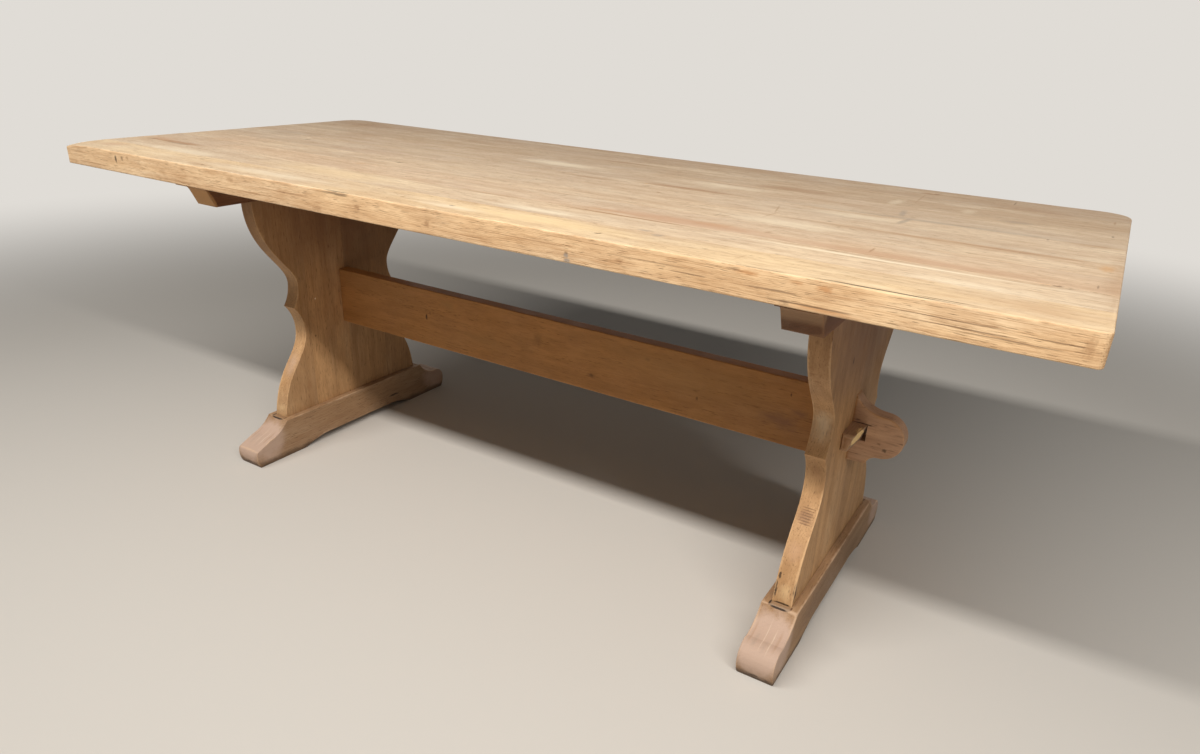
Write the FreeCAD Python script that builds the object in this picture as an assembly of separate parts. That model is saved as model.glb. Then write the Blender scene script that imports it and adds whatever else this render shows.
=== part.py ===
import FreeCAD, Part
import math
import os

# Trestle dining table in solid oak.
# Millimetres. Origin on the floor under the middle of the top.
# +X along the table, +Y across it towards the back, +Z up.

# ---- Driving dimensions ----

# Top
table_length = 2110.0
table_height = 760.0
top_thickness = 45.0
front_corner_radius = 10.0
back_corner_radius = 45.0
top_edge_chamfer = 4.0
# From the front board to the back one
top_board_widths = (94.0, 90.0, 98.0, 92.0, 126.0, 133.0, 129.0, 118.0)
tongue_width = 24.0
tongue_thickness = 8.0
tongue_cover = 12.0
tongue_stop = 70.0

# Trestles
trestle_spacing = 1364.0
panel_thickness = 38.0
panel_board_width = 128.0
panel_foot_width = 466.0
upper_waist_width = 306.0
upper_waist_height = 432.0
cusp_width = 344.0
cusp_height = 376.0
lower_waist_width = 290.0
lower_waist_height = 309.0
shoulder_drop = 25.0
# How far the outline's curves run straight on from each end before they bend
shoulder_start_pull = 52.0
shoulder_end_pull = 120.0
flare_start_pull = 73.0
flare_end_pull = 130.0
flare_slope = 0.12

# Feet
foot_length = 690.0
foot_width = 70.0
foot_height = 98.0
foot_housing_depth = 28.0
filler_length = 12.0
toe_dish_length = 60.0
toe_dish_drop = 36.5
toe_dish_sag = 7.0
toe_nose_height = 30.0
toe_undercut = 9.0
pad_length = 140.0
arch_height = 17.0
arch_flat_length = 220.0

# Bearers
bearer_length = 800.0
bearer_width = 64.0
bearer_height = 60.0
bearer_housing_depth = 15.0
bearer_undercut = 46.0
bearer_knee_setback = 31.0
bearer_knee_height = 31.0
bearer_tip_height = 13.0

# Stretcher, its tenons and the wedges
stretcher_thickness = 33.0
stretcher_height = 143.0
stretcher_bottom = 303.0
tenon_shoulder = 10.0
tenon_reach = 99.0
tenon_nose_radius = 42.0
tenon_nose_height = 372.0
tenon_cove = 20.0
mortise_clearance = 0.5
wedge_height = 34.0
wedge_front_width = 29.0
wedge_taper = 0.1
wedge_front_reach = 66.0
wedge_back_reach = 58.0
wedge_draw = 8.0
wedge_clearance = 0.3
wedge_end_chamfer = 3.0

# Fastenings
head_tenon_width = 56.0
head_tenon_thickness = 12.0
head_tenon_length = 60.0
top_screw_spacing = 600.0
top_screw_radius = 4.0
top_screw_bite = 24.0
top_screw_head_radius = 9.0
top_screw_head_height = 5.0
top_screw_slot_length = 18.0
top_counterbore_depth = 22.0
foot_screw_radius = 5.0
foot_screw_bite = 70.0
foot_screw_head_width = 17.0
foot_screw_head_height = 7.0
foot_washer_radius = 12.0
foot_counterbore_depth = 20.0
foot_washer_thickness = 2.0
counterbore_clearance = 2.0
hole_clearance = 0.15

# ---- Places that follow from them ----

table_width = sum(top_board_widths)
top_bottom = table_height - top_thickness
trestle_x = trestle_spacing / 2
panel_inner_x = trestle_x - panel_thickness / 2
panel_outer_x = trestle_x + panel_thickness / 2
panel_half = 2 * panel_board_width
panel_foot_half = panel_foot_width / 2
panel_base = foot_height - foot_housing_depth
bearer_bottom = top_bottom - bearer_height
panel_head = bearer_bottom + bearer_housing_depth
ridge_y = panel_foot_half + filler_length
tenon_bottom = stretcher_bottom + tenon_shoulder
stretcher_top = stretcher_bottom + stretcher_height
wedge_middle = stretcher_bottom + stretcher_height / 2
sides = {"left": -1, "right": 1}


# ---- Small helpers ----

def point(x, y, z):
    return FreeCAD.Vector(x, y, z)


def box(low, high):
    size = high - low
    return Part.makeBox(size.x, size.y, size.z, low)


def cylinder_up(radius, height, x, y, z):
    return Part.makeCylinder(radius, height, point(x, y, z))


def line(start, end):
    return Part.makeLine(start, end)


def bezier(poles):
    curve = Part.BezierCurve()
    curve.setPoles(poles)
    return curve.toShape()


def arc(start, through, end):
    return Part.Arc(start, through, end).toShape()


def tangent_arc(start, direction, end):
    """Arc that leaves start along direction and stops at end."""
    chord = end - start
    tangent = FreeCAD.Vector(direction).normalize()
    normal = chord - tangent * chord.dot(tangent)
    normal.normalize()
    radius = chord.Length ** 2 / (2 * chord.dot(normal))
    centre = start + normal * radius
    middle = (start + end) * 0.5 - centre
    through = centre + middle.normalize() * radius
    return arc(start, through, end)


def mirrored_y(edges):
    return [edge.mirror(point(0, 0, 0), point(0, 1, 0)) for edge in edges]


def across(end):
    """Straight edge from end to its mirror image on the other side of the table's middle."""
    return line(end, point(end.x, -end.y, end.z))


def slab(edges, depth):
    """Face bounded by a closed run of edges, pushed out along the depth vector."""
    wire = Part.Wire(Part.sortEdges(edges)[0])
    return Part.Face(wire).extrude(depth)


def at_side(shape, side):
    """The shape as drawn for the right-hand trestle, or its mirror image for the left."""
    if sides[side] > 0:
        return shape
    return shape.mirror(point(0, 0, 0), point(1, 0, 0))


def at_both_sides(shapes):
    return [at_side(shape, side) for side in sides for shape in shapes]


def save(name, shapes):
    shape = shapes[0] if len(shapes) == 1 else Part.makeCompound(shapes)
    shape.exportStep(os.path.join("parts", name + ".step"))


# ---- Top ----

def top_seams():
    """Y of the top's front edge, of each joint between boards and of the back edge."""
    seams = [-table_width / 2]
    for width in top_board_widths:
        seams.append(seams[-1] + width)
    return seams


def top_blank():
    """Whole top with broken edges, and corners that are rounder at the back than at the front."""
    low = point(-table_length / 2, -table_width / 2, top_bottom)
    blank = box(low, point(-low.x, -low.y, table_height))
    for facing, radius in ((-1, front_corner_radius), (1, back_corner_radius)):
        upright = [edge for edge in blank.Edges
                   if edge.BoundBox.ZLength > top_thickness / 2 and edge.BoundBox.YMin * facing > 0]
        blank = blank.makeFillet(radius, upright)
    rims = [edge for edge in blank.Edges if edge.BoundBox.ZLength < top_thickness / 2]
    return blank.makeChamfer(top_edge_chamfer, rims)


def tongue(seam_y, margin=0.0):
    """Loose tongue, high enough in the joint to clear the screws that come up from the bearers."""
    half_length = table_length / 2 - tongue_stop + margin
    half_width = tongue_width / 2 + margin
    high_z = table_height - tongue_cover
    low = point(-half_length, seam_y - half_width, high_z - tongue_thickness)
    return box(low, point(half_length, seam_y + half_width, high_z))


def top_screw_places():
    return [(trestle_x, y) for y in (-top_screw_spacing / 2, top_screw_spacing / 2)]


def make_top():
    seams = top_seams()
    blank = top_blank()
    joints = seams[1:-1]
    grooves = [tongue(y, hole_clearance) for y in joints]
    pilot_holes = at_both_sides([
        cylinder_up(top_screw_radius + hole_clearance, top_screw_bite + hole_clearance, x, y, top_bottom)
        for x, y in top_screw_places()])
    blank = blank.cut(grooves + pilot_holes)
    for number in range(len(top_board_widths)):
        low = point(-table_length, seams[number], 0)
        high = point(table_length, seams[number + 1], table_height * 2)
        save("top_board_%d" % (number + 1), [blank.common(box(low, high)).Solids[0]])
    save("top_tongues", [tongue(y) for y in joints])


# ---- Bearers ----

def bearer_outline():
    """Side view: flat below, undercut towards each end, with a thin squared tip."""
    half = bearer_length / 2
    heel = point(0, half - bearer_undercut, bearer_bottom)
    knee = point(0, half - bearer_knee_setback, bearer_bottom + bearer_knee_height)
    tip = point(0, half, top_bottom - bearer_tip_height)
    corner = point(0, half, top_bottom)
    end = [line(heel, knee), tangent_arc(knee, knee - heel, tip), line(tip, corner)]
    return end + mirrored_y(end) + [across(heel), across(corner)]


def slot_up(radius, length, x, y, z, height):
    """Round-ended slot that runs along X."""
    half = length / 2 - radius
    ends = [cylinder_up(radius, height, x + shift, y, z) for shift in (-half, half)]
    middle = box(point(x - half, y - radius, z), point(x + half, y + radius, z + height))
    return ends[0].fuse([ends[1], middle]).removeSplitter()


def make_bearers():
    width = point(bearer_width, 0, 0)
    blank = slab(bearer_outline(), width)
    blank.translate(point(trestle_x - bearer_width / 2, 0, 0))
    housing = box(point(panel_inner_x, -panel_half, bearer_bottom),
                  point(panel_outer_x, panel_half, panel_head))
    cuts = [housing] + [head_tenon(x, y, hole_clearance) for x, y in head_tenon_places()]
    for x, y in top_screw_places():
        cuts.append(cylinder_up(top_screw_head_radius + counterbore_clearance, top_counterbore_depth,
                                x, y, bearer_bottom))
        cuts.append(slot_up(top_screw_radius + hole_clearance, top_screw_slot_length,
                            x, y, bearer_bottom, bearer_height))
    bearer = blank.cut(cuts)
    for side in sides:
        save("bearer_" + side, [at_side(bearer, side)])


# ---- End panels ----

def panel_outline():
    """Ogee outline of one end panel, from the foot up to the bearer and back."""
    base = point(0, panel_foot_half, panel_base)
    foot = point(0, panel_foot_half, foot_height)
    lower_waist = point(0, lower_waist_width / 2, lower_waist_height)
    cusp = point(0, cusp_width / 2, cusp_height)
    upper_waist = point(0, upper_waist_width / 2, upper_waist_height)
    shoulder = point(0, panel_half, panel_head - shoulder_drop)
    head = point(0, panel_half, panel_head)
    flare = bezier([
        foot,
        foot + point(0, -flare_slope * flare_end_pull, flare_end_pull),
        lower_waist - point(0, 0, flare_start_pull),
        lower_waist])
    swell = bezier([
        upper_waist,
        upper_waist + point(0, 0, shoulder_start_pull),
        shoulder - point(0, 0, shoulder_end_pull),
        shoulder])
    back = [
        line(base, foot),
        flare,
        tangent_arc(lower_waist, point(0, 0, 1), cusp),
        tangent_arc(upper_waist, point(0, 0, -1), cusp),
        swell,
        line(shoulder, head)]
    return back + mirrored_y(back) + [across(base), across(head)]


def head_tenon_places():
    """Middle of the head of each of the four panel boards."""
    return [(trestle_x, (number + 0.5) * panel_board_width - panel_half) for number in range(4)]


def head_tenon(x, y, margin=0.0):
    """Loose tenon, half in the panel board and half in the bearer above it."""
    middle = point(x, y, panel_head)
    half = point(head_tenon_thickness / 2 + margin, head_tenon_width / 2 + margin,
                 head_tenon_length / 2 + margin)
    return box(middle - half, middle + half)


def foot_screw_places():
    """Middle of the foot of the two inner panel boards."""
    return [(trestle_x, y) for y in (-panel_board_width / 2, panel_board_width / 2)]


def make_panels():
    blank = slab(panel_outline(), point(panel_thickness, 0, 0))
    blank.translate(point(panel_inner_x, 0, 0))
    mortise_half = stretcher_thickness / 2 + mortise_clearance
    mortise = box(point(panel_inner_x, -mortise_half, tenon_bottom - mortise_clearance),
                  point(panel_outer_x, mortise_half, stretcher_top + mortise_clearance))
    cuts = [mortise]
    cuts += [head_tenon(x, y, hole_clearance) for x, y in head_tenon_places()]
    cuts += [cylinder_up(foot_screw_radius + hole_clearance, foot_screw_bite + hole_clearance,
                         x, y, panel_base) for x, y in foot_screw_places()]
    panel = blank.cut(cuts)
    for number in range(4):
        low_y = number * panel_board_width - panel_half
        strip = box(point(panel_inner_x, low_y, 0),
                    point(panel_outer_x, low_y + panel_board_width, table_height))
        board = panel.common(strip).Solids[0]
        for side in sides:
            save("panel_%s_board_%d" % (side, number + 1), [at_side(board, side)])
    save("head_tenons", at_both_sides([head_tenon(x, y) for x, y in head_tenon_places()]))


# ---- Feet ----

def foot_outline():
    """Side view: level ridge, dished toes with blunt noses, and a low arch between two pads."""
    nose_y = foot_length / 2
    ridge = point(0, ridge_y, foot_height)
    dish_end = point(0, ridge_y + toe_dish_length, foot_height - toe_dish_drop)
    nose = point(0, nose_y, toe_nose_height)
    toe = point(0, nose_y - toe_undercut, 0)
    pad_end = point(0, toe.y - pad_length, 0)
    arch_end = point(0, arch_flat_length / 2, arch_height)
    fall = dish_end - ridge
    inward = point(0, fall.z, -fall.y).normalize()
    dish_through = (ridge + dish_end) * 0.5 + inward * toe_dish_sag
    half = [
        arc(ridge, dish_through, dish_end),
        tangent_arc(nose, point(0, 0, 1), dish_end),
        tangent_arc(nose, point(0, 0, -1), toe),
        line(toe, pad_end),
        tangent_arc(arch_end, point(0, 1, 0), pad_end)]
    return half + mirrored_y(half) + [across(ridge), across(arch_end)]


def make_feet():
    blank = slab(foot_outline(), point(foot_width, 0, 0))
    blank.translate(point(trestle_x - foot_width / 2, 0, 0))
    housing = box(point(panel_inner_x, -ridge_y, panel_base),
                  point(panel_outer_x, ridge_y, foot_height))
    cuts = [housing]
    for x, y in foot_screw_places():
        cuts.append(cylinder_up(foot_washer_radius + counterbore_clearance,
                                arch_height + foot_counterbore_depth, x, y, 0))
        cuts.append(cylinder_up(foot_screw_radius + hole_clearance, foot_height, x, y, 0))
    foot = blank.cut(cuts)
    back_filler = box(point(panel_inner_x, panel_foot_half, panel_base),
                      point(panel_outer_x, ridge_y, foot_height))
    front_filler = back_filler.mirror(point(0, 0, 0), point(0, 1, 0))
    for side in sides:
        save("foot_" + side, [at_side(foot, side)])
        save("filler_%s_front" % side, [at_side(front_filler, side)])
        save("filler_%s_back" % side, [at_side(back_filler, side)])


# ---- Stretcher and wedges ----

def tenon_outline():
    """Front view of the right-hand tenon: a cove above and below runs into a round nose."""
    tip_x = panel_outer_x + tenon_reach
    nose = point(tip_x - tenon_nose_radius, 0, tenon_nose_height)
    nose_top = nose + point(0, 0, tenon_nose_radius)
    nose_bottom = nose - point(0, 0, tenon_nose_radius)
    root_top = point(panel_outer_x, 0, stretcher_top)
    root_bottom = point(panel_outer_x, 0, tenon_bottom)
    cove_bottom = point(nose.x - tenon_cove, 0, tenon_bottom)
    inner_top = point(0, 0, stretcher_top)
    inner_bottom = point(0, 0, tenon_bottom)
    return [
        line(inner_bottom, root_bottom),
        line(root_bottom, cove_bottom),
        tangent_arc(nose_bottom, point(-1, 0, 0), cove_bottom),
        arc(nose_bottom, nose + point(tenon_nose_radius, 0, 0), nose_top),
        tangent_arc(nose_top, point(-1, 0, 0), root_top),
        line(root_top, inner_top),
        line(inner_top, inner_bottom)]


def wedge_width_at(y):
    """The wedge is thin at the front and thick at the back."""
    return wedge_front_width + wedge_taper * (y + stretcher_thickness / 2)


def wedge_plan(front_y, back_y, inner_x, z):
    """Plan of the wedge or of its mortise, tapered on the side away from the panel."""
    corners = [
        point(inner_x, front_y, z),
        point(panel_outer_x + wedge_width_at(front_y), front_y, z),
        point(panel_outer_x + wedge_width_at(back_y), back_y, z),
        point(inner_x, back_y, z)]
    return Part.Face(Part.makePolygon(corners + [corners[0]]))


def make_stretcher():
    half = stretcher_thickness / 2
    beam = box(point(-panel_inner_x, -half, stretcher_bottom), point(panel_inner_x, half, stretcher_top))
    tenon = slab(tenon_outline(), point(0, stretcher_thickness, 0))
    tenon.translate(point(0, -half, 0))
    height = wedge_height + 2 * wedge_clearance
    mortise = wedge_plan(-half, half, panel_outer_x - wedge_draw, wedge_middle - height / 2)
    tenon = tenon.cut(mortise.extrude(point(0, 0, height)))
    stretcher = beam.fuse([at_side(tenon, side) for side in sides]).removeSplitter()
    save("stretcher", [stretcher])


def make_wedges():
    front_y = -stretcher_thickness / 2 - wedge_front_reach
    back_y = stretcher_thickness / 2 + wedge_back_reach
    low_z = wedge_middle - wedge_height / 2
    plan = wedge_plan(front_y, back_y, panel_outer_x, low_z)
    wedge = plan.extrude(point(0, 0, wedge_height))
    rims = [edge for edge in wedge.Edges if edge.BoundBox.YLength < 0.001]
    wedge = wedge.makeChamfer(wedge_end_chamfer, rims)
    for side in sides:
        save("wedge_" + side, [at_side(wedge, side)])


# ---- Screws and washers ----

def make_top_screws():
    seat_z = bearer_bottom + top_counterbore_depth
    shank_end = top_bottom + top_screw_bite
    screws = []
    for x, y in top_screw_places():
        head = cylinder_up(top_screw_head_radius, top_screw_head_height, x, y,
                           seat_z - top_screw_head_height)
        screws.append(head.fuse(cylinder_up(top_screw_radius, shank_end - seat_z, x, y, seat_z)))
    save("top_screws", at_both_sides(screws))


def hex_head(x, y, z):
    radius = foot_screw_head_width / math.sqrt(3)
    corners = [point(x + radius * math.cos(math.radians(60 * turn)),
                     y + radius * math.sin(math.radians(60 * turn)), z) for turn in range(7)]
    return Part.Face(Part.makePolygon(corners)).extrude(point(0, 0, foot_screw_head_height))


def make_foot_screws():
    seat_z = arch_height + foot_counterbore_depth
    shank_end = panel_base + foot_screw_bite
    screws = []
    washers = []
    for x, y in foot_screw_places():
        washer_z = seat_z - foot_washer_thickness
        shank = cylinder_up(foot_screw_radius, shank_end - washer_z, x, y, washer_z)
        screws.append(hex_head(x, y, washer_z - foot_screw_head_height).fuse(shank))
        disc = cylinder_up(foot_washer_radius, foot_washer_thickness, x, y, washer_z)
        hole = cylinder_up(foot_screw_radius + hole_clearance, foot_washer_thickness, x, y, washer_z)
        washers.append(disc.cut(hole))
    save("foot_screws", at_both_sides(screws))
    save("foot_screw_washers", at_both_sides(washers))


os.makedirs("parts", exist_ok=True)
make_top()
make_bearers()
make_panels()
make_feet()
make_stretcher()
make_wedges()
make_top_screws()
make_foot_screws()
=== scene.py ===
import itertools
import math

import bmesh
import bpy
import numpy as np
from bpy.props import FloatProperty, FloatVectorProperty, PointerProperty
from mathutils import Matrix, Vector, noise
from mathutils.bvhtree import BVHTree


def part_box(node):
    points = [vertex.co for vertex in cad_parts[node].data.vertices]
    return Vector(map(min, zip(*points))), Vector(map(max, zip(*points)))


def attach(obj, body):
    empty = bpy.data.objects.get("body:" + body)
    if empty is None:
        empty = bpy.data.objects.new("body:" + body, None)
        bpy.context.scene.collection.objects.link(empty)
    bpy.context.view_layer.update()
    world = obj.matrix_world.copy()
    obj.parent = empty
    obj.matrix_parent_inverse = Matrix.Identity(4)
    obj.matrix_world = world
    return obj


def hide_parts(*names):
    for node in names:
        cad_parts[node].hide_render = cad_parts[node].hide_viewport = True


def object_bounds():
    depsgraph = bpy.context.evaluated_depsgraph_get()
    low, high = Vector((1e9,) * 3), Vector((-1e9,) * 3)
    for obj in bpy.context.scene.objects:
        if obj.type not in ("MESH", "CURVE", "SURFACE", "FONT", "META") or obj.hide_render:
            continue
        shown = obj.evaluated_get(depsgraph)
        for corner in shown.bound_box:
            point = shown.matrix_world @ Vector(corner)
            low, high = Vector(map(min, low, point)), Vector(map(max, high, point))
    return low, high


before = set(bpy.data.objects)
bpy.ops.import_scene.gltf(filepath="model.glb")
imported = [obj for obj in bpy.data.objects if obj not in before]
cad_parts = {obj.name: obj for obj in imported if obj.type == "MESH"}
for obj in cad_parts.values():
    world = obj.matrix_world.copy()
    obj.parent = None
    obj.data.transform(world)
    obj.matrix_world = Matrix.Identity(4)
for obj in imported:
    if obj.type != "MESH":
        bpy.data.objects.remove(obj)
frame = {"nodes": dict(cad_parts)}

bl_info = {
    "name": "Trestle Table Finish",
    "version": (1, 0, 0),
    "blender": (4, 5, 0),
    "location": "View3D > Sidebar > Trestle Table",
    "description": "Dresses a trestle dining table in worn, bleached oak and sets it in a studio",
    "category": "Object",
}

# Sizes are in metres. +X runs along the table, +Y towards its back, +Z up.
CAD_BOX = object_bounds()
HALF_LENGTH = CAD_BOX[1].x
HALF_WIDTH = CAD_BOX[1].y
TOP_FACE = CAD_BOX[1].z
TOP_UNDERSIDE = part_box("top_board_1")[0].z
BOARD_COUNT = sum(name.startswith("top_board_") for name in frame["nodes"])
SIDES = ("left", "right")
# The body that carries every piece but the two wedges
TABLE = "table"


def from_srgb(red, green, blue):
    """Linear colour from the 0 to 255 values of a paint chart."""
    def channel(value):
        value = value / 255
        return value / 12.92 if value <= 0.04045 else ((value + 0.055) / 1.055) ** 2.4
    return tuple(channel(value) for value in (red, green, blue))


def colour_setting(name, description, red, green, blue):
    """A colour that a user can change, from its 0 to 255 values."""
    return FloatVectorProperty(name=name, description=description, subtype="COLOR", size=3,
                               min=0, max=1, default=from_srgb(red, green, blue))


def length_setting(name, description, millimetres):
    """A length that a user can change."""
    return FloatProperty(name=name, description=description, subtype="DISTANCE", unit="LENGTH",
                         default=millimetres / 1000)


# ---- Settings ----

class TopSettings(bpy.types.PropertyGroup):
    """Sizes and colours of the tabletop."""
    arris: length_setting("Arris", "Rounding of the top's outer edges", 2.6)
    seam_arris: length_setting("Seam arris", "Rounding of the boards where they meet", 0.35)
    cup: length_setting("Cup", "How far a board's middle lies below its edges", 0.25)
    near_right_corner: length_setting("Near right corner", "Corner radius seen from above", 10)
    near_left_corner: length_setting("Near left corner", "Corner radius seen from above", 10)
    far_right_corner: length_setting("Far right corner", "Corner radius seen from above", 55)
    far_left_corner: length_setting("Far left corner", "Corner radius seen from above", 50)
    brightness: FloatProperty(name="Brightness", description="Lightness of all the boards",
                              default=0.98, min=0.5, max=1.2)
    deep: colour_setting("Deep colour", "Darker rings and stripes of the top", 168, 128, 92)
    cool: colour_setting("Cool colour", "Greyer patches of the top", 206, 188, 164)
    pale: colour_setting("Pale colour", "Creamy streaks of the top", 246, 228, 196)
    worn: colour_setting("Worn colour", "Rubbed edges of the top", 236, 208, 168)
    edge: colour_setting("Edge colour", "Sawn and weathered edges of the top", 238, 202, 156)
    edge_deep: colour_setting("Deep edge colour", "Dark grain on the edges", 160, 110, 64)


class TrestleSettings(bpy.types.PropertyGroup):
    """Sizes and colours of the two trestles, the stretcher and the wedges."""
    arris: length_setting("Arris", "Rounding of the exposed edges", 2.0)
    seam_arris: length_setting("Seam arris", "Rounding of edges in a joint", 0.7)
    wear_reach: length_setting("Wear reach", "How far rubbing reaches in from an edge", 7)
    panel: colour_setting("Panel colour", "Oak of the end panels", 200, 156, 108)
    foot: colour_setting("Foot colour", "Oak of the feet", 170, 135, 99)
    bearer: colour_setting("Bearer colour", "Oak of the bearers", 122, 78, 46)
    stretcher: colour_setting("Stretcher colour", "Oak of the stretcher", 186, 131, 74)
    tenon: colour_setting("Tenon colour", "Bleached oak of the stretcher's tenons", 202, 161, 127)
    wedge: colour_setting("Wedge colour", "Oak of the wedges", 176, 140, 110)
    inner: colour_setting("Inner colour", "Oak of the hidden tongues and tenons", 200, 168, 128)
    steel: colour_setting("Steel colour", "Plated screws and washers", 158, 158, 154)


class StudioSettings(bpy.types.PropertyGroup):
    """Camera, lights and floor."""
    lens: FloatProperty(name="Lens", description="Focal length", default=24.97, unit="CAMERA")
    shift: FloatProperty(name="Shift", description="Upward shift of the view", default=0.0224)
    eye: FloatVectorProperty(name="Eye", description="Place of the camera", subtype="TRANSLATION",
                             unit="LENGTH", default=(1.0183, -1.4855, 1.0415))
    floor: colour_setting("Floor colour", "Pale floor", 206, 200, 191)
    background: colour_setting("Background", "What shows past the floor", 224, 220, 214)
    fade_start: length_setting("Fade start", "Where the floor begins to fade", 1900)
    fade_end: length_setting("Fade end", "Where the floor has become the background", 4600)
    key_power: FloatProperty(name="Key power", description="Light from the front and above",
                             default=156, unit="POWER")
    key_place: FloatVectorProperty(name="Key place", description="Middle of the key light",
                                   subtype="TRANSLATION", unit="LENGTH", default=(1.0, -1.8, 2.6))
    sky: FloatProperty(name="Sky", description="Even light from all round", default=0.08)


# ---- Shader building ----

def feed(tree, socket, value):
    """Links a socket to value where value is a socket, and sets it where it is plain."""
    if isinstance(value, bpy.types.NodeSocket):
        tree.links.new(value, socket)
    elif socket.type == "RGBA" and len(value) == 3:
        socket.default_value = (*value, 1)
    else:
        socket.default_value = value


def calc(tree, operation, *values):
    """Math node, whose inputs are sockets or plain numbers."""
    made = tree.nodes.new("ShaderNodeMath")
    made.operation = operation
    for socket, value in zip(made.inputs, values):
        feed(tree, socket, value)
    return made.outputs[0]


def vector_calc(tree, operation, *values):
    """Vector math node, whose inputs are sockets or plain vectors."""
    made = tree.nodes.new("ShaderNodeVectorMath")
    made.operation = operation
    for socket, value in zip(made.inputs, values):
        feed(tree, socket, value)
    return made.outputs["Value" if operation in ("LENGTH", "DOT_PRODUCT") else "Vector"]


def scaled(tree, vector, x, y=None, z=None):
    """A vector times three factors, or times one where only one is given."""
    return vector_calc(tree, "MULTIPLY", vector, (x, x, x) if y is None else (x, y, z))


def split(tree, vector):
    """The x, y and z of a vector."""
    made = tree.nodes.new("ShaderNodeSeparateXYZ")
    feed(tree, made.inputs[0], vector)
    return made.outputs


def joined(tree, *parts):
    """A vector of three parts."""
    made = tree.nodes.new("ShaderNodeCombineXYZ")
    for socket, value in zip(made.inputs, parts):
        feed(tree, socket, value)
    return made.outputs[0]


def smooth_step(tree, value, low, high, start=0.0, end=1.0):
    """Runs smoothly from start to end while a value rises from low to high."""
    made = tree.nodes.new("ShaderNodeMapRange")
    made.interpolation_type = "SMOOTHSTEP"
    for socket, given in zip(made.inputs, (value, low, high, start, end)):
        feed(tree, socket, given)
    return made.outputs[0]


def mixed(tree, share, first, second):
    """One colour that gives way to another as the share rises."""
    made = tree.nodes.new("ShaderNodeMix")
    made.data_type = "RGBA"
    sockets = {socket.identifier: socket for socket in (*made.inputs, *made.outputs)}
    for label, value in (("Factor_Float", share), ("A_Color", first), ("B_Color", second)):
        feed(tree, sockets[label], value)
    return sockets["Result_Color"]


def cloud(tree, vector, detail=2.0, roughness=0.5):
    """Noise texture, whose first output is a value about 0.5 and whose second is a colour."""
    made = tree.nodes.new("ShaderNodeTexNoise")
    feed(tree, made.inputs["Vector"], vector)
    made.inputs["Scale"].default_value = 1
    made.inputs["Detail"].default_value = detail
    made.inputs["Roughness"].default_value = roughness
    return made.outputs


def blend_shaders(tree, share, first, second, output):
    """Shows one shader, and another in its place as the share rises."""
    blend = tree.nodes.new("ShaderNodeMixShader")
    for socket, value in zip(blend.inputs, (share, first, second)):
        tree.links.new(value, socket)
    tree.links.new(blend.outputs[0], tree.nodes[output].inputs["Surface"])


def add_relief(tree, shader, height, strength, distance):
    """Fine relief in a surface, from a height that changes over it."""
    bump = tree.nodes.new("ShaderNodeBump")
    bump.inputs["Strength"].default_value = strength
    bump.inputs["Distance"].default_value = distance
    tree.links.new(height, bump.inputs["Height"])
    tree.links.new(bump.outputs[0], shader.inputs["Normal"])


def new_material(name):
    """Material, its nodes, its shader, and the place on the table of each point it colours."""
    material = bpy.data.materials.new(name)
    material.use_nodes = True
    tree = material.node_tree
    place = tree.nodes.new("ShaderNodeTexCoord").outputs["Object"]
    return material, tree, tree.nodes["Principled BSDF"], place


def new_group(name, inputs, outputs):
    """Empty node group. Inputs are (name, kind, default) and outputs are (name, kind)."""
    tree = bpy.data.node_groups.new(name, "ShaderNodeTree")
    for label, kind, default in inputs:
        socket = tree.interface.new_socket(name=label, in_out="INPUT",
                                           socket_type="NodeSocket" + kind)
        if default is not None:
            socket.default_value = default
    for label, kind in outputs:
        tree.interface.new_socket(name=label, in_out="OUTPUT", socket_type="NodeSocket" + kind)
    given = tree.nodes.new("NodeGroupInput").outputs
    result = tree.nodes.new("NodeGroupOutput").inputs
    return tree, given, result


def placed(tree, group, **values):
    """A copy of a group in a material, with its inputs set by name."""
    made = tree.nodes.new("ShaderNodeGroup")
    made.node_tree = bpy.data.node_groups[group]
    for label, value in values.items():
        feed(tree, made.inputs[label.replace("_", " ").capitalize()], value)
    return made.outputs


# ---- Shared effects ----

PORE_COLOUR = (0.045, 0.026, 0.013)
GRIME_COLOUR = from_srgb(70, 52, 38)


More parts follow.
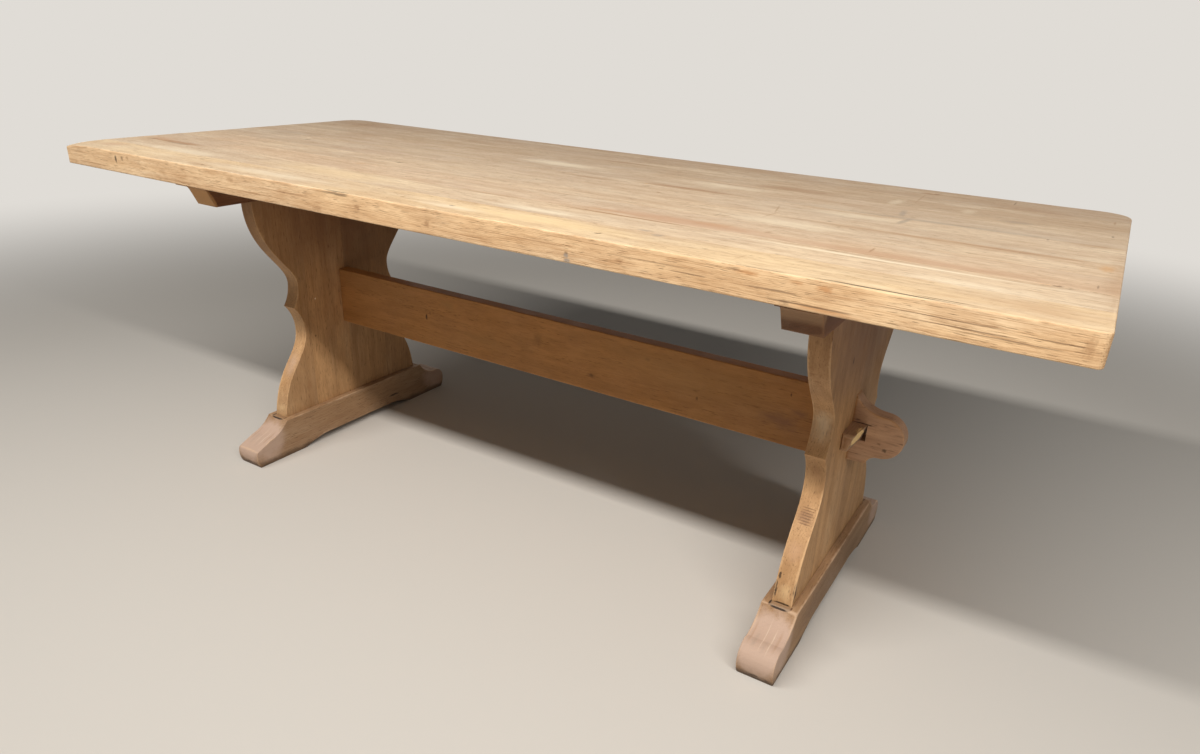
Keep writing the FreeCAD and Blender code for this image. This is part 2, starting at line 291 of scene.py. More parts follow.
def make_oak_group():
    """Solid oak: growth rings round a pith line, streaks, fibres, pores, mottle and patches.

    Position runs (along the grain, across it, through it), measured from the pith."""
    tree, given, result = new_group("Oak", [
        ("Position", "Vector", None), ("Seed", "Float", 0.0),
        ("Ring width", "Float", 0.004), ("Wander", "Float", 0.03),
        ("Base", "Color", None), ("Deep", "Color", None), ("Cool", "Color", None),
        ("Pale", "Color", None), ("Rings", "Float", 0.5), ("Stripes", "Float", 0.3),
        ("Streaks", "Float", 0.3), ("Fibres", "Float", 0.3), ("Patches", "Float", 0.3),
        ("Mottle", "Float", 0.3), ("Pores", "Float", 0.4), ("End", "Float", 0.0),
    ], [("Colour", "Color"), ("Height", "Float")])
    seeded = vector_calc(tree, "ADD", given["Position"],
                         scaled(tree, joined(tree, *[given["Seed"]] * 3), 3.71, 0.97, 1.31))

    def grained(place, along, across, detail, roughness=0.5):
        return cloud(tree, scaled(tree, place, along, across, across), detail, roughness)

    def drift(along, across, detail=2):
        moved = grained(seeded, along, across, detail)[1]
        return vector_calc(tree, "SUBTRACT", moved, (0.5, 0.5, 0.5))

    def wander(along, across, share):
        amount = calc(tree, "MULTIPLY", given["Wander"], share)
        return vector_calc(tree, "MULTIPLY", drift(along, across), joined(tree, *[amount] * 3))

    bent = vector_calc(tree, "ADD", given["Position"], wander(0.8, 3.0, 1.0))
    bent = vector_calc(tree, "ADD", bent, wander(6.0, 30.0, 0.14))
    bent = vector_calc(tree, "ADD", bent, wander(28.0, 110.0, 0.035))
    radius = vector_calc(tree, "LENGTH", scaled(tree, bent, 0, 1, 1))
    uneven = tree.nodes.new("ShaderNodeTexNoise")
    uneven.noise_dimensions = "1D"
    uneven.inputs["Scale"].default_value = 40
    tree.links.new(radius, uneven.inputs["W"])
    ring = calc(tree, "ADD", calc(tree, "DIVIDE", radius, given["Ring width"]),
                calc(tree, "MULTIPLY", uneven.outputs[0], 3.0))
    one_ring = tree.nodes.new("ShaderNodeTexWhiteNoise")
    one_ring.noise_dimensions = "1D"
    tree.links.new(calc(tree, "FLOOR", ring), one_ring.inputs["W"])
    phase = calc(tree, "FRACT", ring)
    early = calc(tree, "SUBTRACT", smooth_step(tree, phase, 0.0, 0.12),
                 smooth_step(tree, phase, 0.15, 0.75))
    broken = smooth_step(tree, grained(seeded, 11, 90, 3, 0.6)[0], 0.35, 0.6, 0.25)
    rings = calc(tree, "MULTIPLY", calc(tree, "MULTIPLY", early, broken),
                 smooth_step(tree, one_ring.outputs[0], 0.0, 1.0, 0.3, 1.0))
    drifted = vector_calc(tree, "ADD", seeded,
                          scaled(tree, drift(3.0, 9.0, 3), 0.05, 0.022, 0.022))
    stripes = smooth_step(tree, grained(drifted, 1.7, 30, 4, 0.6)[0], 0.44, 0.68)
    streaks = smooth_step(tree, grained(drifted, 2.6, 19, 4, 0.55)[0], 0.5, 0.7)
    patches = smooth_step(tree, grained(drifted, 2.4, 7, 3, 0.55)[0], 0.38, 0.66)
    mottle = smooth_step(tree, grained(drifted, 14, 48, 4, 0.62)[0], 0.3, 0.72)
    fibres = smooth_step(tree, grained(seeded, 20, 290, 5, 0.78)[0], 0.44, 0.68)
    pores = calc(tree, "MULTIPLY",
                 smooth_step(tree, grained(seeded, 58, 600, 1)[0], 0.58, 0.72),
                 smooth_step(tree, early, 0.0, 1.0, 0.3, 1.0))
    end_dots = smooth_step(tree, grained(seeded, 40, 520, 2)[0], 0.45, 0.7)
    dark = mixed(tree, 0.6, given["Deep"], PORE_COLOUR)
    colour = given["Base"]
    for mask, amount, tint in (
            (patches, given["Patches"], given["Cool"]), (streaks, given["Streaks"], given["Pale"]),
            (stripes, given["Stripes"], given["Deep"]), (rings, given["Rings"], given["Deep"]),
            (mottle, given["Mottle"], given["Deep"]), (fibres, given["Fibres"], given["Deep"]),
            (pores, given["Pores"], dark)):
        colour = mixed(tree, calc(tree, "MULTIPLY", mask, amount), colour, tint)
    end_look = mixed(tree, calc(tree, "MULTIPLY", end_dots, 0.4),
                     mixed(tree, 0.3, colour, given["Deep"]), dark)
    tree.links.new(mixed(tree, given["End"], colour, end_look), result["Colour"])
    height = calc(tree, "SUBTRACT", calc(tree, "MULTIPLY", fibres, 0.4),
                  calc(tree, "ADD", pores, calc(tree, "MULTIPLY", rings, 0.5)))
    tree.links.new(height, result["Height"])


def make_stain_group():
    """One oval mark with a ragged rim, laid over a colour.

    A stain, scuff, knot or crack, or a patch of painted shade or painted light.
    """
    tree, given, result = new_group("Stain", [
        ("Position", "Vector", None), ("Colour", "Color", None), ("Stain", "Color", None),
        ("Strength", "Float", 0.5), ("Centre", "Vector", None), ("Reach", "Vector", None),
        ("Turn", "Float", 0.0), ("Ragged", "Float", 0.4), ("Soft", "Float", 0.6),
    ], [("Colour", "Color")])
    offset = vector_calc(tree, "SUBTRACT", given["Position"], given["Centre"])
    turned = tree.nodes.new("ShaderNodeVectorRotate")
    turned.rotation_type = "Z_AXIS"
    tree.links.new(offset, turned.inputs["Vector"])
    tree.links.new(given["Turn"], turned.inputs["Angle"])
    share_out = vector_calc(tree, "DIVIDE", turned.outputs[0], given["Reach"])
    rim = cloud(tree, scaled(tree, share_out, 2.4), 3, 0.6)[0]
    ragged = calc(tree, "MULTIPLY", calc(tree, "SUBTRACT", rim, 0.5),
                  calc(tree, "MULTIPLY", given["Ragged"], 2.0))
    distance = calc(tree, "ADD", vector_calc(tree, "LENGTH", share_out), ragged)
    inner = calc(tree, "SUBTRACT", 1.0, given["Soft"])
    mask = smooth_step(tree, distance, inner, 1.0, 1.0, 0.0)
    share = calc(tree, "MULTIPLY", mask, given["Strength"])
    tree.links.new(mixed(tree, share, given["Colour"], given["Stain"]), result["Colour"])


def make_wear_group():
    """Rubbed arrises: paler where hands and feet polish the edge, with a broken outline."""
    tree, given, result = new_group("Arris wear", [
        ("Position", "Vector", None), ("Colour", "Color", None), ("Worn", "Color", None),
        ("Amount", "Float", 0.6),
    ], [("Colour", "Color"), ("Mask", "Float")])
    edge = tree.nodes.new("ShaderNodeAttribute")
    edge.attribute_name = "arris"
    broken = cloud(tree, scaled(tree, given["Position"], 70), 4, 0.65)[0]
    patchy = cloud(tree, scaled(tree, given["Position"], 9), 2)[0]
    level = calc(tree, "ADD", calc(tree, "MULTIPLY", broken, 1.2),
                 calc(tree, "MULTIPLY", patchy, 2.2))
    reach = calc(tree, "SUBTRACT", calc(tree, "ADD", edge.outputs["Fac"], level), 1.95)
    mask = smooth_step(tree, reach, 0.3, 0.95)
    share = calc(tree, "MULTIPLY", mask, given["Amount"])
    tree.links.new(mixed(tree, share, given["Colour"], given["Worn"]), result["Colour"])
    tree.links.new(mask, result["Mask"])


def make_grime_group():
    """Floor grime: brown dirt that mops leave on the lowest few millimetres."""
    tree, given, result = new_group("Floor grime", [
        ("Position", "Vector", None), ("Colour", "Color", None),
        ("Reach", "Float", 0.02), ("Amount", "Float", 0.6),
    ], [("Colour", "Color")])
    height = split(tree, given["Position"])[2]
    rough = cloud(tree, scaled(tree, given["Position"], 45, 45, 90), 4, 0.6)[0]
    level = calc(tree, "ADD", calc(tree, "DIVIDE", height, given["Reach"]),
                 calc(tree, "SUBTRACT", rough, 0.5))
    mask = calc(tree, "MULTIPLY", smooth_step(tree, level, 0.1, 1.0, 1.0, 0.0), given["Amount"])
    tree.links.new(mixed(tree, mask, given["Colour"], GRIME_COLOUR), result["Colour"])


def make_shared_groups():
    """The effects that more than one finish uses, each built once."""
    make_oak_group()
    make_stain_group()
    make_wear_group()
    make_grime_group()


# ---- Oak finishes ----

# How the grain runs: the table's axes (0, 1, 2 for x, y, z) along, across and through it
LENGTHWISE = (0, 1, 2)
UPRIGHT = (2, 1, 0)
CROSSWISE = (1, 2, 0)
ALONG_RAIL = (0, 2, 1)

MARK_COLOURS = {name: from_srgb(*paint) for name, paint in {
    "pale": (246, 230, 200), "gold": (240, 211, 162), "straw": (246, 214, 152),
    "amber": (204, 155, 102), "orange": (186, 130, 80), "pink": (192, 151, 118),
    "tan": (196, 160, 122), "toe": (194, 166, 147), "grey": (156, 140, 124),
    "khaki": (160, 118, 68), "brown": (158, 116, 78), "plum": (120, 84, 64),
    # The shade colour and the next one are painted shade, on a foot's side and under the top.
    "shade": (104, 80, 58), "under_top_shade": (100, 59, 29), "dark": (92, 62, 38), "black": (40, 27, 18),
}.items()}
# How strongly each effect of the oak group shows where a finish says nothing else
PLAIN_AMOUNTS = {"rings": 0.45, "stripes": 0.4, "streaks": 0.3, "fibres": 0.3, "patches": 0.35,
                 "mottle": 0.3, "pores": 0.5}


class Mark:
    """One stain, scuff, crack, knot, painted shade or painted light.

    Its place and reach are in millimetres, in the table's frame.
    """

    def __init__(self, place, reach, stain, strength, turn=0.0, ragged=0.4, soft=0.6):
        self.place = tuple(value / 1000 for value in place)
        self.reach = tuple(value / 1000 for value in reach)
        self.colour = MARK_COLOURS[stain]
        self.strength = strength
        self.turn = math.radians(turn)
        self.ragged = ragged
        self.soft = soft


def grain_axes(tree, vector, grain):
    """A place on the table as a place along, across and through the grain."""
    axes = split(tree, vector)
    return joined(tree, *[axes[axis] for axis in grain])


def end_share(tree, grain):
    """1 on end grain, 0 on faces that run along the grain."""
    facing = split(tree, tree.nodes.new("ShaderNodeTexCoord").outputs["Normal"])[grain[0]]
    return smooth_step(tree, calc(tree, "ABSOLUTE", facing), 0.6, 0.92)


def shade_oak(tree, shader, place, colour, height, marks, worn, wear, grime, roughness, relief):
    """Lays marks, wear and grime over an oak colour and feeds the material's shader."""
    for mark in marks:
        colour = placed(tree, "Stain", position=place, colour=colour, stain=mark.colour,
                        strength=mark.strength, centre=mark.place, reach=mark.reach,
                        turn=mark.turn, ragged=mark.ragged, soft=mark.soft)["Colour"]
    colour = placed(tree, "Arris wear", position=place, colour=colour, worn=worn,
                    amount=wear)["Colour"]
    if grime:
        colour = placed(tree, "Floor grime", position=place, colour=colour, amount=grime)["Colour"]
    tree.links.new(colour, shader.inputs["Base Color"])
    sheen = cloud(tree, scaled(tree, place, 9), 3)[0]
    rough = smooth_step(tree, calc(tree, "ADD", sheen, calc(tree, "MULTIPLY", height, -0.15)),
                        0.25, 0.8, roughness - 0.08, roughness + 0.1)
    tree.links.new(rough, shader.inputs["Roughness"])
    shader.inputs["Specular IOR Level"].default_value = 0.3
    add_relief(tree, shader, height, relief, 0.0008)


def oak_material(name, grain, pith, seed, colours, amounts=None, ring_width=0.004, wander=0.03,
                 marks=(), wear=0.6, worn=None, grime=0.0, roughness=0.62, relief=0.3, zones=()):
    """Oak finish, with the pith of its log at a place in the table's frame.

    Zones are (mask builder, colours, amounts) for parts of the piece that look different."""
    material, tree, shader, place = new_material(name)
    position = grain_axes(tree, vector_calc(tree, "SUBTRACT", place, pith), grain)
    end = end_share(tree, grain)

    def grown(tints, changes):
        base, deep, cool, pale = tints
        values = {**PLAIN_AMOUNTS, "ring_width": ring_width, "wander": wander, **(changes or {})}
        return placed(tree, "Oak", position=position, seed=seed, base=base, deep=deep, cool=cool,
                      pale=pale, end=end, **values)

    oak = grown(colours, amounts)
    colour, height = oak["Colour"], oak["Height"]
    for builder, tints, changes in zones:
        mask = builder(tree, place)
        other = grown(tints, changes)
        colour = mixed(tree, mask, colour, other["Colour"])
        height = calc(tree, "ADD", height, calc(tree, "MULTIPLY", mask, calc(
            tree, "SUBTRACT", other["Height"], height)))
    shade_oak(tree, shader, place, colour, height, marks,
              worn or mixed_colour(colours[0], (1, 1, 1), 0.25), wear, grime, roughness, relief)
    return material


def oak_tints(colour, deep, depth=0.6, cool=(150, 130, 108), pale=(236, 214, 180)):
    """Base, deep, cool and pale colours of a piece, from its main colour."""
    return (colour, mixed_colour(colour, from_srgb(*deep), depth),
            mixed_colour(colour, from_srgb(*cool), 0.5),
            mixed_colour(colour, from_srgb(*pale), 0.35))


def mixed_colour(first, second, share):
    """A plain colour between two others."""
    return tuple(a + (b - a) * share for a, b in zip(first, second))


# What dulls the zinc of the screws, here and there
DULL_ZINC = (0.3, 0.27, 0.2)


def steel_material(colour):
    """Zinc-plated steel, slightly mottled."""
    material, tree, shader, place = new_material("plated_steel")
    spangle = cloud(tree, scaled(tree, place, 260), 4, 0.6)[0]
    scratches = cloud(tree, scaled(tree, place, 900, 900, 60), 2)[0]
    tree.links.new(mixed(tree, smooth_step(tree, spangle, 0.35, 0.7), colour,
                         mixed_colour(colour, DULL_ZINC, 0.5)), shader.inputs["Base Color"])
    tree.links.new(smooth_step(tree, spangle, 0.2, 0.8, 0.28, 0.5), shader.inputs["Roughness"])
    shader.inputs["Metallic"].default_value = 1
    add_relief(tree, shader, scratches, 0.15, 0.0002)
    return material


# ---- Mesh building ----

# Edges that turn further than this stay sharp in the shading.
SHARP_TURN = math.radians(40)
# Faces whose normal rises less than this look sideways.
SIDEWAYS = 0.75


def finish_piece(piece, material, body, slot, *nodes, side_material=None):
    """Gives a new piece its material and its place in the mechanism; hides the nodes it replaces.

    A side material, where there is one, goes on the faces that look sideways."""
    piece.data.materials.clear()
    piece.data.materials.append(material)
    if side_material:
        piece.data.materials.append(side_material)
    for polygon in piece.data.polygons:
        polygon.use_smooth = True
        polygon.material_index = int(bool(side_material) and abs(polygon.normal.z) < SIDEWAYS)
    piece.data.set_sharp_from_angle(angle=SHARP_TURN)
    normals = piece.modifiers.new("Even shading", "WEIGHTED_NORMAL")
    normals.keep_sharp = True
    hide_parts(*nodes)
    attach(piece, body)


def new_piece(name, data):
    """Object in the scene for a mesh, a camera or a lamp."""
    piece = bpy.data.objects.new(name, data)
    bpy.context.scene.collection.objects.link(piece)
    return piece


def set_attribute(mesh, name, values):
    """One number for each point of a mesh, for its material to read."""
    attribute = mesh.attributes.new(name, "FLOAT", "POINT")
    attribute.data.foreach_set("value", np.asarray(values, np.float32))


class Solids:
    """The CAD solids, asked whether one of them covers a point."""

    def __init__(self, nodes):
        self.trees = {}
        for name, node in nodes.items():
            points = [vertex.co.copy() for vertex in node.data.vertices]
            faces = [tuple(polygon.vertices) for polygon in node.data.polygons]
            self.trees[name] = (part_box(name), BVHTree.FromPolygons(points, faces))

    def covers(self, place, own_name):
        """Whether a point lies inside any node but its own."""
        for name, ((low, high), tree) in self.trees.items():
            inside = all(low[axis] <= place[axis] <= high[axis] for axis in range(3))
            if name != own_name and inside and crossings(tree, place) % 2:
                return True
        return False


# A ray that runs along no face or edge of the table
RAY_SLANT = Vector((0.317, 0.549, 0.773)).normalized()
MOST_CROSSINGS = 64
# How near points count as one
SAME_PLACE = 1e-6


def crossings(tree, place):
    """How many faces a slanted ray from a point passes through."""
    count = 0
    start = place
    while count < MOST_CROSSINGS:
        hit = tree.ray_cast(start, RAY_SLANT)[0]
        if hit is None:
            return count
        count += 1
        start = hit + RAY_SLANT * SAME_PLACE
    return count


SOLIDS = Solids(frame["nodes"])


def edge_cover(edge, solids, node, step=0.0006):
    """How many of the two faces beside an edge lie against another piece there."""
    middle = (edge.verts[0].co + edge.verts[1].co) / 2
    first, second = (face.normal for face in edge.link_faces)
    covered = 0
    for out, other in ((first, second), (second, first)):
        if solids.covers(middle + out * step - other * step, node):
            covered += 1
    return covered


def split_off(work, place, direction):
    """Takes away what lies beyond a plane, and closes the piece with a flat facet."""
    cut = bmesh.ops.bisect_plane(work, geom=work.verts[:] + work.edges[:] + work.faces[:],
                                 plane_co=place, plane_no=direction, clear_outer=True)
    rim = [part for part in cut["geom_cut"] if isinstance(part, bmesh.types.BMEdge)]
    bmesh.ops.edgenet_fill(work, edges=rim)


# Faces that turn less than this are one flat face.
FLAT_TURN = math.radians(0.6)
# Edges that turn more than this are arrises.
ARRIS_TURN = math.radians(28)


def softened(node, name, solids, arris, seam_arris, reach, splits=(), rub=None):
    """Copy of a CAD node with its exposed arrises rounded, and how near each point is to one.

    Splits are planes that cut slivers off; rub moves points to where use has worn them."""
    source = frame["nodes"][node].data
    cleaned = bmesh.new()
    cleaned.from_mesh(source)
    bmesh.ops.remove_doubles(cleaned, verts=cleaned.verts, dist=SAME_PLACE)
    bmesh.ops.dissolve_limit(cleaned, angle_limit=FLAT_TURN, verts=cleaned.verts,
                             edges=cleaned.edges)
    for place, direction in splits:
        split_off(cleaned, place, direction)
    for vertex in cleaned.verts if rub else ():
        vertex.co = rub(vertex.co)
    bmesh.ops.recalc_face_normals(cleaned, faces=cleaned.faces)
    cleaned.normal_update()
    weight = cleaned.edges.layers.float.new("bevel_weight_edge")
    arrises = []
    for edge in cleaned.edges:
        if not edge.is_manifold or not edge.is_convex or edge.calc_face_angle() < ARRIS_TURN:
            continue
        covered = edge_cover(edge, solids, node)
        if covered == 0:
            edge[weight] = 1.0
            arrises.append([tuple(vertex.co) for vertex in edge.verts])
        elif covered == 1:
            edge[weight] = seam_arris / arris
    mesh = bpy.data.meshes.new(name)
    cleaned.to_mesh(mesh)
    cleaned.free()
    piece = new_piece(name, mesh)
    bevel = piece.modifiers.new("Arris", "BEVEL")
    bevel.limit_method = "WEIGHT"
    bevel.offset_type = "OFFSET"
    bevel.width = arris
    bevel.segments = 3
    bevel.use_clamp_overlap = True
    rounded = bpy.data.meshes.new_from_object(
        piece.evaluated_get(bpy.context.evaluated_depsgraph_get()))
    piece.modifiers.clear()
    piece.data = rounded
    rounded.name = name
    bpy.data.meshes.remove(mesh)
    add_wear_lines(rounded, reach)
    set_attribute(rounded, "arris", nearness(rounded, arrises, reach))
    return piece


def add_wear_lines(mesh, reach, spacing=1.6, touching=1e-4):
    """Edges across a piece, close enough together for wear to fade out over its reach."""
    work = bmesh.new()
    work.from_mesh(mesh)
    bmesh.ops.remove_doubles(work, verts=work.verts, dist=touching)
    places = [vertex.co.copy() for vertex in work.verts]
    for axis in range(3):
        along = Vector([float(axis == other) for other in range(3)])
        low = min(place[axis] for place in places) + reach
        high = max(place[axis] for place in places) - reach
        if high <= low:
            continue
        count = max(1, round((high - low) / (spacing * reach)))
        for step in range(count + 1):
            everything = work.verts[:] + work.edges[:] + work.faces[:]
            bmesh.ops.bisect_plane(work, geom=everything, dist=touching, plane_no=along,
                                   plane_co=along * (low + (high - low) * step / count))
    # Thin faces that hang on by one edge are leftovers of the cuts.
    flaps = [face for face in work.faces if sum(edge.is_boundary for edge in face.edges) > 1]
    bmesh.ops.delete(work, geom=flaps, context="FACES")
    work.to_mesh(mesh)
    work.free()


def nearness(mesh, segments, reach):
    """1 on an arris, falling to 0 at reach from the nearest one."""
    points = np.zeros(len(mesh.vertices) * 3)
    mesh.vertices.foreach_get("co", points)
    points = points.reshape(-1, 3)
    nearest = np.full(len(points), 1e9)
    for start, end in segments:
        start = np.array(start)
        run = np.array(end) - start
        share = np.clip((points - start) @ run / (run @ run), 0, 1)
        gap = np.linalg.norm(points - start - share[:, None] * run, axis=1)
        nearest = np.minimum(nearest, gap)
    return np.clip(1 - nearest / reach, 0, 1)


# ---- Top ----

# The near left corner of the top is rubbed down: how deep, and how fast that fades.
RUBBED_DEPTH = 0.0095
RUBBED_REACH = 0.032
# How far hand planing leaves the long sides inside their planes, and how far in that reaches
PLANED_DEPTH = 0.0004
PLANED_REACH = 0.02
# How far pale wear reaches in from the top's edges
TOP_WEAR_REACH = 0.008


class TopForm:
    """The slab that the boards make together: rounded corners, rubbed arrises, flat faces."""

    def __init__(self, settings):
        self.arris = settings.arris
        self.seam_arris = settings.seam_arris
        self.cup = settings.cup
        self.corners = {
            (1, -1): settings.near_right_corner, (-1, -1): settings.near_left_corner,
            (1, 1): settings.far_right_corner, (-1, 1): settings.far_left_corner}

    def corner(self, x, y):
        """Radius of the corner nearest to a point."""
        return self.corners[(1 if x > 0 else -1, 1 if y > 0 else -1)]

    def side_y(self, x, side):
        """Half width of the plan at x, towards the front (-1) or the back (1)."""
        radius = self.corner(x, side)
        beyond = abs(x) - (HALF_LENGTH - radius)
        if beyond <= 0:
            return HALF_WIDTH
        return HALF_WIDTH - radius + math.sqrt(max(0.0, radius ** 2 - beyond ** 2))

    def depth(self, x, y):
        """How far a point lies inside the plan."""
        radius = self.corner(x, y)
        beyond_x = abs(x) - (HALF_LENGTH - radius)
        beyond_y = abs(y) - (HALF_WIDTH - radius)
        if beyond_x > 0 and beyond_y > 0:
            return max(0.0, radius - math.hypot(beyond_x, beyond_y))
        return min(HALF_LENGTH - abs(x), HALF_WIDTH - abs(y))

    def arris_at(self, x, y, z_side):
        """Rounding of the arris near a point, uneven from years of use."""
        uneven = noise.noise(Vector((x * 9, y * 9, 3.0 * z_side)))
        fine = noise.noise(Vector((x * 60, y * 60, 9.0 * z_side)))
        return self.arris * (1 + 0.35 * uneven + 0.3 * fine)

    def worn_away(self, x, y):
        """How much lower the top lies at the near left corner, where it is rubbed down."""
        away = math.hypot(x + HALF_LENGTH, y + HALF_WIDTH)
        return RUBBED_DEPTH * math.exp(-away / RUBBED_REACH)

    def wobble(self, x, share, side):
        """How far the front (-1) or back (1) side lies inside its plane, from planing by hand."""
        slow = noise.noise(Vector((x * 6, share * 1.5, 5.0 * side)))
        quick = noise.noise(Vector((x * 40, share * 5, 2.0 * side)))
        return PLANED_DEPTH * (1 + 0.7 * slow + 0.3 * quick)


def fall(depth, radius):
    """How far a rounded edge lies below its face at a depth in from the side."""
    if depth >= radius:
        return 0.0
    return radius - math.sqrt(max(0.0, radius ** 2 - (radius - depth) ** 2))


def graded(length, first, growth, largest):
    """Offsets from 0 to length, closer together at both ends."""
    steps = []
    step = first
    while sum(steps) + step < length / 2:
        steps.append(step)
        step = min(step * growth, largest)
    near = list(itertools.accumulate(steps, initial=0.0))
    return near + [length - offset for offset in reversed(near)]


def lattice_box(name, counts, place):
    """Closed box surface of quads, whose point (i, j, k) lies at place(i, j, k)."""
    index = {}
    points = []
    faces = []
    last = [count - 1 for count in counts]
    for axis in range(3):
        first, second = [other for other in range(3) if other != axis]
        for level, a, b in itertools.product((0, last[axis]), range(last[first]),
                                             range(last[second])):
            face = []
            for more_a, more_b in ((0, 0), (1, 0), (1, 1), (0, 1)):
                step = [level] * 3
                step[first] = a + more_a
                step[second] = b + more_b
                key = tuple(step)
                if key not in index:
                    index[key] = len(points)
                    points.append(place(*key))
                face.append(index[key])
            faces.append(face)
    mesh = bpy.data.meshes.new(name)
    mesh.from_pydata(points, [], faces)
    work = bmesh.new()
    work.from_mesh(mesh)
    bmesh.ops.recalc_face_normals(work, faces=work.faces)
    work.to_mesh(mesh)
    work.free()
    return mesh


# Dents in the top: x, y, radius and depth in millimetres
DENTS = (
    (-770, 12, 11, 1.6), (-344, -100, 10, 1.5), (-203, -223, 7, 1.4), (-475, 147, 7, 1.1),
    (-897, 318, 7, 1.1), (358, -400, 7, 1.3), (982, -255, 9, 1.4), (204, 34, 8, 1.3),
    (190, 57, 6, 1.0), (267, -142, 6, 1.0), (-650, -366, 7, 1.1), (58, -390, 6, 1.0),
    (-586, -414, 7, 1.2), (692, 392, 9, 1.0), (-8, 48, 6, 1.0), (-2, -66, 5, 0.8),
)
# Where lines cross a dent, as shares of its radius from its middle
DENT_LINES = (-1.0, -0.55, 0.0, 0.55, 1.0)


def dent_depth(x, y):
    """How deep the dents are at a point."""
    total = 0.0
    for dent_x, dent_y, radius, depth in DENTS:
        share = math.hypot(x * 1000 - dent_x, y * 1000 - dent_y) / radius
        if share < 1:
            total += depth / 1000 * (1 - share ** 2) ** 2
    return total


def with_extra(values, extra, gap=0.0008):
    """Rising values with more put in between, leaving out any that come too close to another."""
    merged = list(values)
    for value in extra:
        if values[0] < value < values[-1] and min(abs(value - other) for other in merged) > gap:
            merged.append(value)
    return sorted(merged)


def board_lines(low_y, high_y, outer):
    """The lines of a board's surface, closer together at its edges and where it is dented.

    Gives their places along the table, and as shares of the board's width and thickness."""
    dents = [dent for dent in DENTS if low_y < dent[1] / 1000 < high_y]
    along = graded(2 * HALF_LENGTH, first=0.0003, growth=1.32, largest=0.012 if outer else 0.05)
    along = with_extra([offset - HALF_LENGTH for offset in along],
                       [(x + line * radius) / 1000
                        for x, y, radius, depth in dents for line in DENT_LINES])
    across = with_extra(graded(high_y - low_y, first=0.0002, growth=1.75, largest=0.02),
                        [(y + line * radius) / 1000 - low_y
                         for x, y, radius, depth in dents for line in DENT_LINES])
    thickness = TOP_FACE - TOP_UNDERSIDE
    through = graded(thickness, first=0.0012, growth=1.8, largest=0.008)
    return (along, [offset / across[-1] for offset in across],
            [offset / thickness for offset in through])


def make_top_board(number, form):
    """One lengthwise board of the top, cut out of the rounded slab between its two seams."""
    node = "top_board_%d" % number
    low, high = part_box(node)
    # Which long side of the top is the board's own: -1 in front, 1 at the back, 0 for neither
    side = {1: -1, BOARD_COUNT: 1}.get(number, 0)
    stations, across, levels = board_lines(low.y, high.y, side != 0)
    near = []

    def place(i, j, k):
        x = stations[i]
        front = max(low.y, -form.side_y(x, -1))
        back = min(high.y, form.side_y(x, 1))
        y = front + (back - front) * across[j]
        depth = form.depth(x, y)
        seam_gap = min(1 if side < 0 else y - low.y, 1 if side > 0 else high.y - y)
        cup = form.cup * math.sin(math.pi * min(1, max(0, (y - low.y) / (high.y - low.y))))
        seam_fall = fall(seam_gap, form.seam_arris)
        top = TOP_FACE - cup - dent_depth(x, y) - form.worn_away(x, y)
        top -= max(fall(depth, form.arris_at(x, y, 1)), seam_fall)
        bottom = TOP_UNDERSIDE + max(fall(depth, form.arris_at(x, y, -1)), seam_fall)
        z = bottom + (top - bottom) * levels[k]
        gap = max(depth, min(TOP_FACE - z, z - TOP_UNDERSIDE))
        near.append(max(0.0, 1 - gap / TOP_WEAR_REACH))
        if side:
            nearest = max(0.0, 1 - (HALF_WIDTH - abs(y)) / PLANED_REACH)
            y -= side * form.wobble(x, levels[k], side) * nearest
        return (x, y, z)

    mesh = lattice_box(node, (len(stations), len(across), len(levels)), place)
    set_attribute(mesh, "arris", near)
    return new_piece("oak_" + node, mesh)


